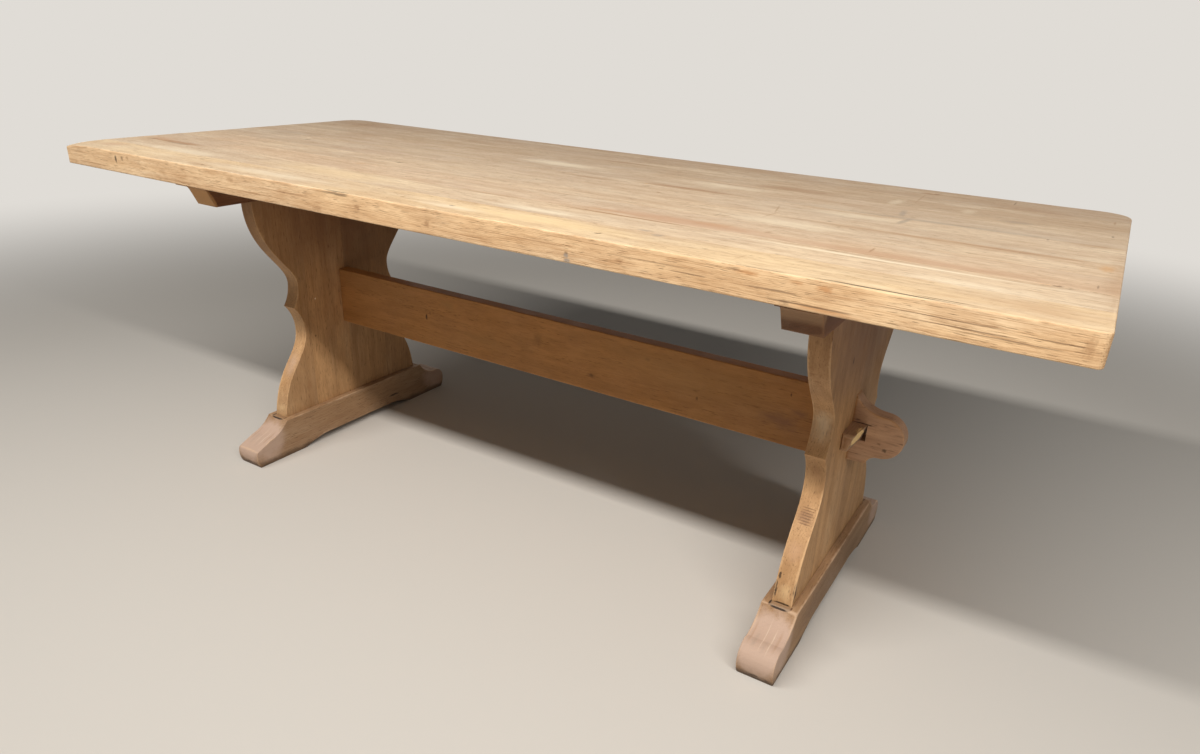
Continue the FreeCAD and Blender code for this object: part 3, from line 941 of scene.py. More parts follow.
# Marks on the top face: x, y, half length and half width in millimetres, stain, strength, turn in
# degrees, raggedness and softness
TOP_MARKS = (
    # pink-brown band with a dark lower rim and a pale line in front of it
    (420, -232, 215, 34, "pink", 0.75, 0, 0.35, 0.7),
    (760, -238, 330, 26, "pink", 0.5, 0, 0.4, 0.8),
    (330, -262, 190, 5, "brown", 0.75, 0, 0.6, 0.6),
    (700, -262, 260, 4, "brown", 0.4, 0, 0.7, 0.7),
    (40, -260, 110, 5, "brown", 0.5, 0, 0.7, 0.6),
    (760, -275, 330, 6, "pale", 0.7, 0, 0.4, 0.7),
    (470, -218, 60, 16, "orange", 0.25, 0, 0.6, 0.8),
    (260, -240, 60, 12, "orange", 0.25, 0, 0.6, 0.8),
    # stain at the left end
    (-905, -256, 130, 16, "brown", 0.7, 0, 0.5, 0.6),
    (-885, -268, 60, 5, "dark", 0.45, 0, 0.6, 0.6),
    (-1000, -255, 30, 12, "dark", 0.35, 0, 0.7, 0.7),
    (-968, -372, 45, 34, "pink", 0.5, 0, 0.6, 0.9),
    (-985, -240, 55, 26, "pink", 0.5, 0, 0.6, 0.8),
    # long soft streaks
    (740, -73, 330, 12, "brown", 0.42, 0, 0.5, 0.8),
    (930, -72, 130, 12, "brown", 0.4, 0, 0.5, 0.8),
    (1034, -100, 16, 30, "amber", 0.6, 0, 0.5, 0.8),
    (290, 62, 160, 17, "brown", 0.6, 0, 0.5, 0.7), (250, 68, 70, 9, "brown", 0.45, 0, 0.6, 0.7),
    (455, 222, 120, 34, "brown", 0.5, 0, 0.5, 0.8),
    (60, 40, 110, 12, "brown", 0.5, 0, 0.5, 0.8),
    (20, 282, 150, 14, "brown", 0.45, 0, 0.5, 0.8),
    (880, 184, 50, 20, "grey", 0.5, 0, 0.6, 0.9), (800, 74, 260, 12, "grey", 0.35, 0, 0.5, 0.8),
    (690, 388, 32, 13, "brown", 0.7, 0, 0.6, 0.8), (700, 392, 9, 6, "dark", 0.5, 0, 0.6, 0.8),
    (900, 330, 120, 40, "brown", 0.3, 0, 0.5, 0.9),
    (1000, 60, 60, 16, "brown", 0.35, 0, 0.6, 0.9),
    # pale cloudy patches
    (-80, 150, 160, 36, "pale", 0.6, 0, 0.5, 0.9),
    (655, 234, 17, 56, "pale", 0.35, 4, 0.5, 0.9),
    (790, 232, 20, 36, "pale", 0.32, 0, 0.5, 0.9),
    (330, 150, 170, 30, "pale", 0.35, 0, 0.5, 0.9),
    (560, -120, 190, 32, "pale", 0.45, 0, 0.5, 0.9),
    (640, 30, 120, 26, "pale", 0.4, 0, 0.5, 0.9),
    (-330, -300, 330, 60, "gold", 0.35, 0, 0.4, 0.9),
    (230, -385, 240, 34, "gold", 0.6, 0, 0.4, 0.8),
    (190, -320, 130, 20, "pale", 0.6, 0, 0.5, 0.9),
    (-420, -395, 260, 26, "pale", 0.45, 0, 0.5, 0.9),
    (890, -330, 120, 26, "pale", 0.35, 0, 0.5, 0.9),
    (60, -400, 110, 18, "pale", 0.5, 0, 0.5, 0.9),
    (-760, -330, 170, 40, "pale", 0.4, 0, 0.5, 0.9),
    # browner ends
    (1052, -180, 26, 240, "brown", 0.35, 0, 0.4, 1.0),
    (960, -395, 150, 60, "tan", 0.45, 0, 0.5, 1.0),
    # brown clouds towards the back left
    (-750, 180, 110, 90, "brown", 0.28, 0, 0.6, 1.0),
    (-900, 60, 120, 60, "grey", 0.25, 0, 0.6, 1.0),
    (-620, 60, 150, 30, "brown", 0.25, 0, 0.6, 1.0),
    (-900, 330, 120, 60, "brown", 0.3, 0, 0.6, 1.0),
    (-420, 330, 180, 50, "brown", 0.22, 0, 0.6, 1.0),
    (-850, -120, 120, 60, "pink", 0.3, 0, 0.6, 1.0),
    (-500, -30, 180, 40, "pink", 0.22, 0, 0.6, 1.0),
    # curved water marks
    (694, 120, 9, 46, "grey", 0.6, -8, 0.35, 0.8), (714, 45, 9, 46, "grey", 0.6, 8, 0.35, 0.8),
    (500, -10, 3, 50, "brown", 0.45, -14, 0.4, 0.8),
    (510, -70, 3, 46, "brown", 0.4, 6, 0.4, 0.8),
    (684, 310, 2.5, 76, "brown", 0.4, -2, 0.4, 0.8),
    (850, 398, 1.6, 28, "dark", 0.6, 0, 0.3, 0.6),
    # grey smudge
    (404, -335, 18, 8, "grey", 0.55, 0, 0.5, 0.8),
    (436, -352, 15, 12, "grey", 0.6, 0, 0.5, 0.8),
    # cracks along the front arris
    (800, -433, 112, 3.2, "black", 0.8, 1, 0.7, 0.5),
    (872, -427, 46, 2.2, "dark", 0.75, 1, 0.7, 0.5),
    (640, -436, 60, 2.5, "dark", 0.5, 0, 0.8, 0.6),
    (-172, -437, 44, 3.5, "black", 0.6, 0, 0.8, 0.6),
    (520, -425, 60, 2, "brown", 0.5, 2, 0.6, 0.7),
    (760, -396, 44, 2, "brown", 0.45, 8, 0.6, 0.7),
    (590, -392, 3, 24, "brown", 0.35, 10, 0.6, 0.8),
    (-588, -420, 56, 10, "brown", 0.5, 0, 0.9, 0.8),
    # dents, nicks and scratches
    (-770, 12, 12, 7, "dark", 0.6, -35, 0.7, 0.7), (-796, 38, 9, 6, "pale", 0.7, -35, 0.6, 0.7),
    (-344, -100, 13, 6, "dark", 0.6, -20, 0.7, 0.7),
    (-200, -222, 12, 4, "dark", 0.6, -35, 0.6, 0.7),
    (-475, 147, 34, 2, "dark", 0.5, -55, 0.5, 0.6),
    (-895, 318, 36, 2, "dark", 0.4, -40, 0.5, 0.6),
    (358, -400, 9, 4, "dark", 0.8, -40, 0.6, 0.6),
    (982, -255, 10, 6, "dark", 0.65, -30, 0.7, 0.7),
    (204, 34, 12, 4, "dark", 0.7, -40, 0.6, 0.7), (190, 57, 10, 3, "dark", 0.6, -40, 0.6, 0.7),
    (258, -16, 8, 5, "brown", 0.8, 0, 0.6, 0.7), (267, -142, 10, 2, "dark", 0.7, -55, 0.5, 0.7),
    (439, -135, 2, 18, "dark", 0.4, 0, 0.5, 0.7), (728, -218, 3, 20, "brown", 0.6, 0, 0.6, 0.7),
    (-650, -366, 14, 3, "dark", 0.6, -30, 0.6, 0.7), (58, -390, 8, 5, "grey", 0.8, 0, 0.7, 0.7),
    (-56, -390, 8, 4, "brown", 0.7, 0, 0.7, 0.7), (-8, 48, 8, 4, "dark", 0.6, -40, 0.6, 0.7),
    (-2, -66, 9, 2.5, "dark", 0.7, -50, 0.5, 0.7), (88, -6, 9, 2, "dark", 0.5, -50, 0.5, 0.7),
    (-104, -66, 11, 2, "dark", 0.5, -50, 0.5, 0.7),
    (142, -174, 11, 2, "dark", 0.5, -50, 0.5, 0.7),
    (-586, -414, 7, 4, "dark", 0.7, 0, 0.6, 0.7), (-542, -426, 8, 4, "dark", 0.6, 0, 0.6, 0.7),
    (1031, 168, 3, 9, "dark", 0.6, 0, 0.5, 0.7), (941, 60, 3, 8, "dark", 0.5, 0, 0.5, 0.7),
    (1028, -224, 2, 14, "dark", 0.5, 0, 0.5, 0.7),
    (1029, 312, 3, 24, "brown", 0.5, 0, 0.5, 0.8),
    (-386, -176, 18, 7, "amber", 0.4, -20, 0.6, 0.8),
    (610, -52, 6, 4, "dark", 0.5, 0, 0.6, 0.7), (452, -132, 14, 4, "brown", 0.5, 0, 0.6, 0.8),
    (560, -210, 8, 12, "brown", 0.4, 0, 0.7, 0.8),
)
# Marks on the front edge: x, z, half length and half height in millimetres, stain, strength,
# raggedness and softness
FRONT_MARKS = (
    (-856, 744, 5, 10, "black", 0.8, 0.5, 0.6), (-832, 747, 6, 7, "dark", 0.55, 0.6, 0.7),
    (-812, 750, 8, 5, "brown", 0.6, 0.7, 0.8), (326, 727, 6, 5, "grey", 0.9, 0.4, 0.6),
    (328, 719, 8, 5, "grey", 0.9, 0.4, 0.6), (326, 731, 5, 3, "dark", 0.5, 0.5, 0.7),
    (44, 733, 8, 9, "brown", 0.6, 0.6, 0.8), (-120, 738, 10, 9, "brown", 0.6, 0.6, 0.8),
    (-224, 722, 18, 9, "brown", 0.5, 0.6, 0.8), (620, 752, 26, 5, "orange", 0.75, 0.6, 0.8),
    (600, 754, 14, 3, "dark", 0.5, 0.7, 0.8), (728, 749, 16, 7, "orange", 0.7, 0.6, 0.8),
    (690, 751, 14, 4, "orange", 0.5, 0.6, 0.8), (728, 720, 60, 6, "orange", 0.6, 0.6, 0.8),
    (712, 723, 84, 1.6, "black", 0.6, 0.7, 0.6), (676, 722, 12, 5, "dark", 0.5, 0.6, 0.8),
    (420, 734, 10, 6, "brown", 0.6, 0.6, 0.8), (534, 735, 40, 1.5, "dark", 0.6, 0.7, 0.6),
    (660, 735, 50, 1.5, "dark", 0.6, 0.7, 0.6), (900, 733, 90, 1.4, "dark", 0.6, 0.7, 0.6),
    (960, 729, 80, 1.3, "dark", 0.6, 0.7, 0.6), (880, 741, 110, 1.2, "dark", 0.5, 0.7, 0.6),
    (1000, 738, 50, 1.3, "dark", 0.6, 0.7, 0.6), (470, 742, 90, 1.2, "dark", 0.45, 0.7, 0.6),
    (240, 740, 120, 1.3, "brown", 0.6, 0.7, 0.6), (120, 727, 100, 1.3, "brown", 0.6, 0.7, 0.6),
    (-320, 741, 120, 1.6, "brown", 0.6, 0.7, 0.6),
    (-420, 728, 130, 1.6, "brown", 0.6, 0.7, 0.6), (-690, 735, 16, 10, "brown", 0.35, 0.7, 0.8),
    (-468, 745, 14, 8, "brown", 0.4, 0.7, 0.8), (-172, 756, 46, 3.5, "black", 0.55, 0.9, 0.6),
    (-640, 722, 90, 2.4, "brown", 0.5, 0.8, 0.7), (-940, 725, 80, 2.4, "brown", 0.5, 0.8, 0.7),
    (1036, 738, 9, 18, "brown", 0.5, 0.7, 0.8),
)


# A mark's ragged rim reaches as far as this many times its own reach.
RIM_SHARE = 1.3


def top_marks(low_y, high_y):
    """The marks that reach between two lines along the top, in metres."""
    found = []
    for x, y, long, wide, stain, strength, turn, ragged, soft in TOP_MARKS:
        span = max(wide, long * abs(math.sin(math.radians(turn)))) * RIM_SHARE
        if y + span > low_y * 1000 and y - span < high_y * 1000:
            found.append(Mark((x, y, 1000 * TOP_FACE), (long, wide, 16), stain, strength, turn,
                              ragged, soft))
    return found


def front_marks():
    """The marks on the front edge of the first board."""
    return [Mark((x, -1000 * HALF_WIDTH, z), (long, 7, high), stain, strength, 0, ragged, soft)
            for x, z, long, high, stain, strength, ragged, soft in FRONT_MARKS]


# Each board's colour, where the middle of its log lies (sideways from the board's own middle, and
# up from the top's face), and the width of its growth rings, in metres
# Darker to the back: partly the boards' own tone, partly painted shade where the light falls off
BOARD_LOOKS = (
    ((236, 207, 163), -0.03, -0.16, 0.0042), ((234, 209, 174), 0.05, -0.13, 0.0040),
    ((224, 196, 163), -0.08, -0.10, 0.0036), ((228, 203, 170), 0.02, -0.17, 0.0044),
    ((222, 198, 167), 0.07, -0.12, 0.0040), ((212, 188, 158), -0.05, -0.15, 0.0046),
    ((203, 179, 149), 0.03, -0.11, 0.0040), ((191, 166, 137), 0.10, -0.16, 0.0042),
)


def top_board_materials(number, settings):
    """Finishes of a top board's broad faces and of its edges, sawn from its own place in a log."""
    low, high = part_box("top_board_%d" % number)
    middle = (low.y + high.y) / 2
    tint, offset_y, rise, ring_width = BOARD_LOOKS[number - 1]
    base = tuple(channel * settings.brightness for channel in from_srgb(*tint))
    shared = (tuple(settings.cool), tuple(settings.pale))
    pith = (0, middle + offset_y, TOP_FACE + rise)
    seed = number * 1.7
    face = oak_material(
        "top_oak_%d" % number, LENGTHWISE, pith, seed, (base, tuple(settings.deep), *shared),
        {"rings": 0.18, "stripes": 0.26, "streaks": 0.35, "fibres": 0.46, "patches": 0.5,
         "mottle": 0.3, "pores": 0.65},
        ring_width=ring_width, wander=0.05, marks=top_marks(low.y, high.y),
        worn=tuple(settings.worn), wear=0.15)
    edge = oak_material(
        "edge_oak_%d" % number, LENGTHWISE, pith, seed,
        (tuple(settings.edge), tuple(settings.edge_deep), *shared),
        {"rings": 0.55, "stripes": 0.25, "streaks": 0.3, "fibres": 0.42, "patches": 0.2,
         "mottle": 0.35, "pores": 0.5},
        ring_width=0.0026, wander=0.05, marks=front_marks() if number == 1 else (),
        worn=tuple(settings.worn), wear=0.12, relief=0.5)
    return face, edge


class TABLE_OT_top_boards(bpy.types.Operator):
    """Builds the eight boards of the top"""
    bl_idname = "trestle_table.top_boards"
    bl_label = "Top boards"

    def execute(self, context):
        settings = context.scene.trestle_table_top
        form = TopForm(settings)
        for number in range(1, BOARD_COUNT + 1):
            piece = make_top_board(number, form)
            face, edge = top_board_materials(number, settings)
            finish_piece(piece, face, TABLE, "top_oak", "top_board_%d" % number,
                         side_material=edge)
        return {"FINISHED"}


# ---- Trestles ----

def box_middle(node):
    """Middle of a CAD node's box."""
    low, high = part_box(node)
    return (low + high) / 2


def middle_x(node):
    """Middle of a CAD node along the table, in millimetres."""
    low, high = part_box(node)
    return 500 * (low.x + high.x)


def trestle_piece(node, settings, material, slot, body=TABLE, arris=None, splits=(), rub=None):
    """Rounds a CAD node's arrises and dresses it in place of the node."""
    piece = softened(node, "oak_" + node, SOLIDS, arris or settings.arris, settings.seam_arris,
                     settings.wear_reach, splits, rub)
    finish_piece(piece, material, body, slot, node)


# Marks on the stretcher and its tenons: place and reach in millimetres, stain, strength,
# raggedness and softness
STRETCHER_MARKS = (
    ((-364, -17, 376), (4, 8, 10), "black", 0.85, 0.5, 0.6),
    ((-352, -17, 388), (3, 8, 8), "dark", 0.4, 0.5, 0.8),
    ((122, -17, 340), (16, 8, 8), "dark", 0.5, 0.6, 0.9),
    ((122, -17, 341), (6, 8, 4), "black", 0.4, 0.6, 0.8),
    ((381, -17, 353), (4, 8, 6), "black", 0.6, 0.6, 0.7),
    ((578, -17, 413), (2.5, 8, 5), "black", 0.7, 0.5, 0.7),
    ((-25, -17, 389), (16, 8, 26), "dark", 0.3, 0.5, 0.9),
    ((260, -17, 411), (9, 8, 6), "dark", 0.4, 0.6, 0.8),
    ((560, -17, 352), (60, 8, 26), "plum", 0.5, 0.7, 0.9),
    ((600, -17, 378), (26, 8, 12), "plum", 0.5, 0.7, 0.9),
    ((-295, -17, 420), (34, 8, 16), "khaki", 0.6, 0.6, 0.9),
    ((-560, -17, 380), (170, 20, 90), "orange", 0.16, 0.3, 1.0),
    ((330, -17, 400), (330, 20, 80), "khaki", 0.5, 0.4, 1.0),
    ((-180, -17, 350), (120, 8, 30), "khaki", 0.4, 0.6, 1.0),
    # Painted shade over the stretcher's top face, which the top keeps from the light
    ((0, 0, 447), (690, 40, 3), "dark", 0.6, 0.2, 0.5),
    ((722, -17, 392), (25, 5, 2.2), "black", 0.85, 0.3, 0.5),
    ((768, -17, 349), (6, 6, 5), "black", 0.7, 0.6, 0.7),
    ((756, -17, 360), (5, 6, 3), "dark", 0.5, 0.6, 0.8),
    ((735, -17, 440), (40, 14, 10), "pale", 0.35, 0.5, 0.9),
    ((790, -17, 385), (14, 6, 3), "dark", 0.35, 0.7, 0.8),
    ((770, -17, 402), (18, 6, 2), "dark", 0.35, 0.7, 0.8),
    ((780, -17, 366), (20, 6, 2), "dark", 0.35, 0.7, 0.8),
)
# Marks on the end panels, in the same order
PANEL_MARKS = {
    "right": (
        ((701, -90, 536), (8, 5, 10), "black", 0.85, 0.6, 0.6),
        ((701, 28, 470), (12, 26, 80), "brown", 0.35, 0.4, 0.9),
        ((664, -238, 563), (9, 14, 4), "brown", 0.8, 0.5, 0.8),
        ((671, -231, 549), (9, 14, 4), "brown", 0.8, 0.5, 0.8),
        ((679, -220, 534), (9, 14, 4), "brown", 0.7, 0.5, 0.8),
        ((682, -150, 336), (24, 14, 22), "brown", 0.55, 0.5, 0.9),
        ((682, -166, 248), (20, 18, 20), "plum", 0.45, 0.5, 0.8),
        ((664.5, -229, 124), (3.6, 9, 22), "black", 0.95, 0.6, 0.3),
        ((700.5, -227, 131), (3.2, 9, 24), "black", 0.95, 0.6, 0.3),
        ((682, -230, 122), (17, 12, 24), "gold", 0.25, 0.5, 0.9),
        ((682, -203, 197), (24, 22, 36), "pink", 0.5, 0.4, 1.0),
        ((668, -222, 150), (3, 8, 8), "black", 0.8, 0.6, 0.4),
        ((682, -234, 99), (20, 5, 2.5), "black", 0.85, 0.6, 0.4),
        ((682, -155, 430), (26, 22, 50), "pale", 0.3, 0.4, 1.0),
    ),
    "left": (
        ((-663, -104, 386), (6, 2.6, 3), "pale", 0.95, 0.3, 0.5),
        ((-663, -114, 288), (6, 4, 4), "dark", 0.6, 0.6, 0.7),
        ((-682, -185, 235), (26, 34, 75), "toe", 0.45, 0.4, 1.0),
        ((-682, -236, 124), (26, 14, 24), "gold", 0.3, 0.5, 0.9),
        ((-663, -60, 180), (8, 5, 60), "dark", 0.22, 0.6, 1.0),
        ((-663, -150, 160), (8, 12, 20), "brown", 0.4, 0.7, 0.9),
        ((-663, -186, 190), (8, 3, 8), "dark", 0.4, 0.6, 0.8),
        ((-663, 20, 560), (8, 14, 90), "dark", 0.2, 0.5, 1.0),
    ),
}
# Chatter left by a plane across the front edge of the right panel's lowest board
PANEL_MARKS["right"] += tuple(
    ((684 - (step % 3), -156.5 - 2.75 * step, 264 - 4.2 * step), (17, 5, 1.3), "dark",
     0.6, 0.5, 0.7)
    for step in range(7))

# Scuffs along the toes of the feet: across the foot and along it in millimetres, half width, half
# length, stain and strength
TOE_SCUFFS = (
    (12, 306, 1.8, 40, "pale", 0.35), (-3, 300, 1.4, 44, "pale", 0.3),
    (-16, 312, 6, 30, "grey", 0.35), (4, 318, 5, 26, "grey", 0.25),
    (22, 300, 4, 36, "brown", 0.35), (-26, 296, 3, 34, "brown", 0.35),
)
# The two ends of a foot, and which way along Y each lies
ENDS = {"front": -1, "back": 1}


def marks_on(node, rows):
    """The marks of a table of rows that reach into a node's box."""
    low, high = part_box(node)
    found = []
    for place, reach, stain, strength, ragged, soft in rows:
        if all(1000 * low[axis] - RIM_SHARE * reach[axis] < place[axis]
               < 1000 * high[axis] + RIM_SHARE * reach[axis] for axis in range(3)):
            found.append(Mark(place, reach, stain, strength, 0, ragged, soft))
    return found


def panel_marks(side, node):
    """A panel board's own marks, and a dark line at the foot.

    Close under the top, painted shade darkens the oak.
    """
    middle = middle_x(node)
    # Painted shade under the top, darkest at its underside and fading downwards
    common = (((middle, 60, 715), (400, 520, 390), "under_top_shade", 0.9, 0.2, 0.9),
              ((middle, 0, 97), (30, 300, 7), "black", 0.55, 0.35, 0.8))
    return marks_on(node, PANEL_MARKS[side] + common)


def filler_joint_marks(node, way):
    """Dirt in the joints round a filler block: at its outer end and along its two sides."""
    low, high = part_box(node)
    x, y = (500 * (low[axis] + high[axis]) for axis in (0, 1))
    half_x, half_y = (500 * (high[axis] - low[axis]) for axis in (0, 1))
    return [((x, y + way * (half_y + 0.8), 98), (half_x * 1.12, 2.6, 8), "black", 0.95, 0.3, 0.3),
            ((x - half_x - 1, y, 98), (2.6, half_y * 1.4, 8), "black", 0.9, 0.3, 0.3),
            ((x + half_x + 1, y, 98), (2.2, half_y * 1.3, 8), "dark", 0.9, 0.3, 0.4)]


def foot_marks(side):
    """Toes bleached by shoes and mops, cracks, and dirt round the filler blocks.

    On the right foot, a painted shadow of the top darkens the outer side.
    """
    node = "foot_" + side
    middle = middle_x(node)
    rows = [((middle, way * 306, 62), (60, 74, 84), "toe", 0.85, 0.25, 0.35)
            for way in ENDS.values()]
    rows += [((middle + across, way * along, 74), (wide, long, 40), stain, strength, 0.5, 0.9)
             for way in ENDS.values() for across, along, wide, long, stain, strength in TOE_SCUFFS]
    rows += [((middle, way * 345, 5), (40, 8, 11), "black", 0.8, 0.7, 0.4)
             for way in ENDS.values()]
    for end, way in ENDS.items():
        rows += filler_joint_marks("filler_%s_%s" % (side, end), way)
    if side == "left":
        rows.append(((-647, 132, 40), (8, 24, 4), "black", 0.85, 0.6, 0.6))
    else:
        # Painted shadow of the top along the right foot's outer side
        rows.append(((718, 0, 50), (12, 330, 70), "shade", 0.6, 0.25, 0.7))
    return marks_on(node, rows)


# How light each board of an end panel is, from front to back
PANEL_SHADES = (0.96, 1.04, 0.86, 0.82)


class TABLE_OT_panels(bpy.types.Operator):
    """Builds the four boards of each end panel"""
    bl_idname = "trestle_table.panels"
    bl_label = "End panels"

    def execute(self, context):
        settings = context.scene.trestle_table_trestle
        colour = tuple(settings.panel)
        for side, number in itertools.product(SIDES, range(1, len(PANEL_SHADES) + 1)):
            node = "panel_%s_board_%d" % (side, number)
            middle = box_middle(node)
            shade = PANEL_SHADES[number - 1] * (1.07 if side == "right" else 1.0)
            material = oak_material(
                "panel_oak_%s_%d" % (side, number), UPRIGHT,
                (middle.x + 0.09, middle.y + 0.03 * (-1) ** number, 0),
                number + 11.3 * (side == "left"),
                oak_tints(tuple(channel * shade for channel in colour), (112, 72, 38)),
                {"rings": 0.28, "stripes": 0.5, "streaks": 0.35, "mottle": 0.45, "fibres": 0.55,
                 "pores": 0.85},
                ring_width=0.0042, wander=0.04, marks=panel_marks(side, node),
                worn=mixed_colour(colour, from_srgb(222, 184, 140), 0.6), wear=0.7)
            trestle_piece(node, settings, material, "panel_oak")
        return {"FINISHED"}


# The rubbed slope of the left foot's front toe: its length, its upper end and its fall
TOE_LENGTH = 0.0464
TOE_HEIGHT = 0.0627
TOE_SLOPE = 0.43


def rubbed_toe(place):
    """The left foot's front toe, rubbed down to a straight slope."""
    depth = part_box("foot_left")[0].y + TOE_LENGTH - place.y
    highest = TOE_HEIGHT - TOE_SLOPE * depth
    return Vector((place.x, place.y, min(place.z, highest))) if depth > 0 else place


class TABLE_OT_feet(bpy.types.Operator):
    """Builds the sledge feet and the filler blocks let into them"""
    bl_idname = "trestle_table.feet"
    bl_label = "Feet"

    def execute(self, context):
        settings = context.scene.trestle_table_trestle
        colour = tuple(settings.foot)
        for side in SIDES:
            middle = box_middle("foot_" + side)
            material = oak_material(
                "foot_oak_" + side, CROSSWISE, (middle.x + 0.05, 0, middle.z - 0.11),
                5.1 + (side == "left"), oak_tints(colour, (120, 82, 52), cool=(168, 150, 134)),
                {"rings": 0.5, "stripes": 0.4, "streaks": 0.3, "mottle": 0.4, "patches": 0.45,
                 "fibres": 0.65, "pores": 0.9},
                ring_width=0.0042, wander=0.03, marks=foot_marks(side),
                worn=mixed_colour(colour, from_srgb(230, 198, 168), 0.6), wear=0.6, grime=0.75)
            trestle_piece("foot_" + side, settings, material, "foot_oak",
                          rub=rubbed_toe if side == "left" else None)
            filler = oak_material(
                "filler_oak_" + side, LENGTHWISE, (middle.x, 0.3, middle.z - 0.05),
                9.2 + (side == "left"),
                oak_tints(tuple(channel * 0.8 for channel in colour), (110, 74, 48)),
                {"rings": 0.5, "stripes": 0.4}, wear=0.25)
            for end in ENDS:
                trestle_piece("filler_%s_%s" % (side, end), settings, filler, "foot_oak",
                              arris=0.0011)
        return {"FINISHED"}


def bearer_marks(side):
    """Paler oak at the front end: all over it on the left bearer, high up on the right one.

    On the left bearer this is paler end grain with painted light on it as well.
    """
    middle = middle_x("bearer_" + side)
    if side == "left":
        # Paler end grain, made paler still by painted light on the left bearer's front end
        return [Mark((middle, -415.6, 644.3), (400, 68, 68), "amber", 0.95, 0, 0.02, 0.08)]
    return [Mark((middle, -374, 692), (400, 26, 26), "tan", 0.4, 0, 0.15, 0.5)]


class TABLE_OT_bearers(bpy.types.Operator):
    """Builds the two bearers under the top"""
    bl_idname = "trestle_table.bearers"
    bl_label = "Bearers"

    def execute(self, context):
        settings = context.scene.trestle_table_trestle
        colour = tuple(settings.bearer)
        for side in SIDES:
            middle = box_middle("bearer_" + side)
            material = oak_material(
                "bearer_oak_" + side, CROSSWISE, (middle.x - 0.06, 0, middle.z + 0.1),
                8.4 + (side == "left"), oak_tints(colour, (62, 38, 22), cool=(112, 94, 78)),
                {"rings": 0.4, "stripes": 0.4, "mottle": 0.4}, ring_width=0.0036,
                marks=bearer_marks(side),
                worn=mixed_colour(colour, from_srgb(170, 132, 94), 0.5), wear=0.5)
            trestle_piece("bearer_" + side, settings, material, "bearer_oak")
        return {"FINISHED"}


def outside_panels(tree, place):
    """1 on the stretcher's tenons, beyond the outer faces of the end panels."""
    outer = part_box("panel_right_board_1")[1].x
    along = calc(tree, "ABSOLUTE", split(tree, place)[0])
    return smooth_step(tree, along, outer - 0.002, outer + 0.006)


class TABLE_OT_stretcher(bpy.types.Operator):
    """Builds the long stretcher with its tenons"""
    bl_idname = "trestle_table.stretcher"
    bl_label = "Stretcher"

    def execute(self, context):
        settings = context.scene.trestle_table_trestle
        colour = tuple(settings.stretcher)
        middle = box_middle("stretcher")
        material = oak_material(
            "stretcher_oak", ALONG_RAIL, (0, middle.y + 0.12, middle.z + 0.02), 2.9,
            oak_tints(colour, (100, 56, 20), cool=(150, 116, 78), pale=(206, 158, 96)),
            {"rings": 0.12, "stripes": 0.25, "streaks": 0.35, "patches": 0.6, "mottle": 0.45,
             "fibres": 0.35, "pores": 0.6},
            ring_width=0.005, wander=0.05, marks=marks_on("stretcher", STRETCHER_MARKS),
            worn=mixed_colour(colour, from_srgb(206, 160, 108), 0.5), wear=0.45,
            zones=((outside_panels,
                    oak_tints(tuple(settings.tenon), (104, 66, 38), cool=(160, 138, 116)),
                    {"rings": 0.45, "stripes": 0.4, "mottle": 0.5, "pores": 0.8, "patches": 0.5,
                     "ring_width": 0.005}),))
        trestle_piece("stretcher", settings, material, "stretcher_oak", arris=0.0022)
        return {"FINISHED"}


# How much of a wedge is shaved off the face that slides along the panel
SLIDING_GAP = 0.00015


def wedge_faces(side):
    """A wedge's box, which way along X is outwards for it, and where its inner face lies."""
    low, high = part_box("wedge_" + side)
    return (low, high, 1, low.x) if side == "right" else (low, high, -1, high.x)


def wedge_split(side):
    """The plane along which a sliver broke away from the outer side of the wedge."""
    low, high, sign, inner = wedge_faces(side)
    place = Vector((inner + 0.0245 * sign, low.y + 0.028, high.z))
    down = Vector((inner + 0.0125 * sign, low.y, low.z)) - place
    back = Vector((inner + 0.0185 * sign, low.y + 0.066, low.z)) - place
    return place, down.cross(back) * sign


def wedge_clearance(side):
    """A plane that keeps the wedge's inner side a hair's breadth off the panel it slides along."""
    low, high, sign, inner = wedge_faces(side)
    return Vector((inner + SLIDING_GAP * sign, low.y, low.z)), Vector((-sign, 0, 0))


def wedge_marks(side):
    """Paler oak where the sliver broke away, and a dirty end."""
    low, high, sign, face = wedge_faces(side)
    inner = 1000 * face
    middle = 500 * (low.z + high.z)
    front = 1000 * low.y
    rows = (((inner + 22 * sign, front + 34, middle + 2), (9, 36, 18), "straw", 0.9, 0.35, 0.2),
            ((inner + 22 * sign, front + 24, middle + 4), (8, 26, 1.4), "gold", 0.8, 0.5, 0.4),
            ((inner + 22 * sign, front + 44, middle - 5), (8, 18, 1.2), "gold", 0.8, 0.5, 0.4),
            ((inner + 18 * sign, front + 50, middle - 17), (10, 40, 2), "black", 0.6, 0.4, 0.3),
            ((inner + 8 * sign, front, middle), (15, 5, 19), "brown", 0.7, 0.4, 0.5))
    return marks_on("wedge_" + side, rows)


class TABLE_OT_wedges(bpy.types.Operator):
    """Builds the loose wedges that lock the stretcher"""
    bl_idname = "trestle_table.wedges"
    bl_label = "Wedges"

    def execute(self, context):
        settings = context.scene.trestle_table_trestle
        colour = tuple(settings.wedge)
        for side in SIDES:
            node = "wedge_" + side
            middle = box_middle(node)
            material = oak_material(
                "wedge_oak_" + side, CROSSWISE, (middle.x + 0.04, 0, middle.z + 0.05),
                3.3 + (side == "left"), oak_tints(colour, (84, 56, 34), cool=(150, 134, 116)),
                {"rings": 0.5, "stripes": 0.4, "mottle": 0.5, "patches": 0.5}, ring_width=0.0036,
                marks=wedge_marks(side),
                worn=mixed_colour(colour, from_srgb(214, 178, 138), 0.6), wear=0.7)
            trestle_piece(node, settings, material, "wedge_oak", body=side + "_wedge",
                          arris=0.0016, splits=(wedge_split(side), wedge_clearance(side)))
        return {"FINISHED"}


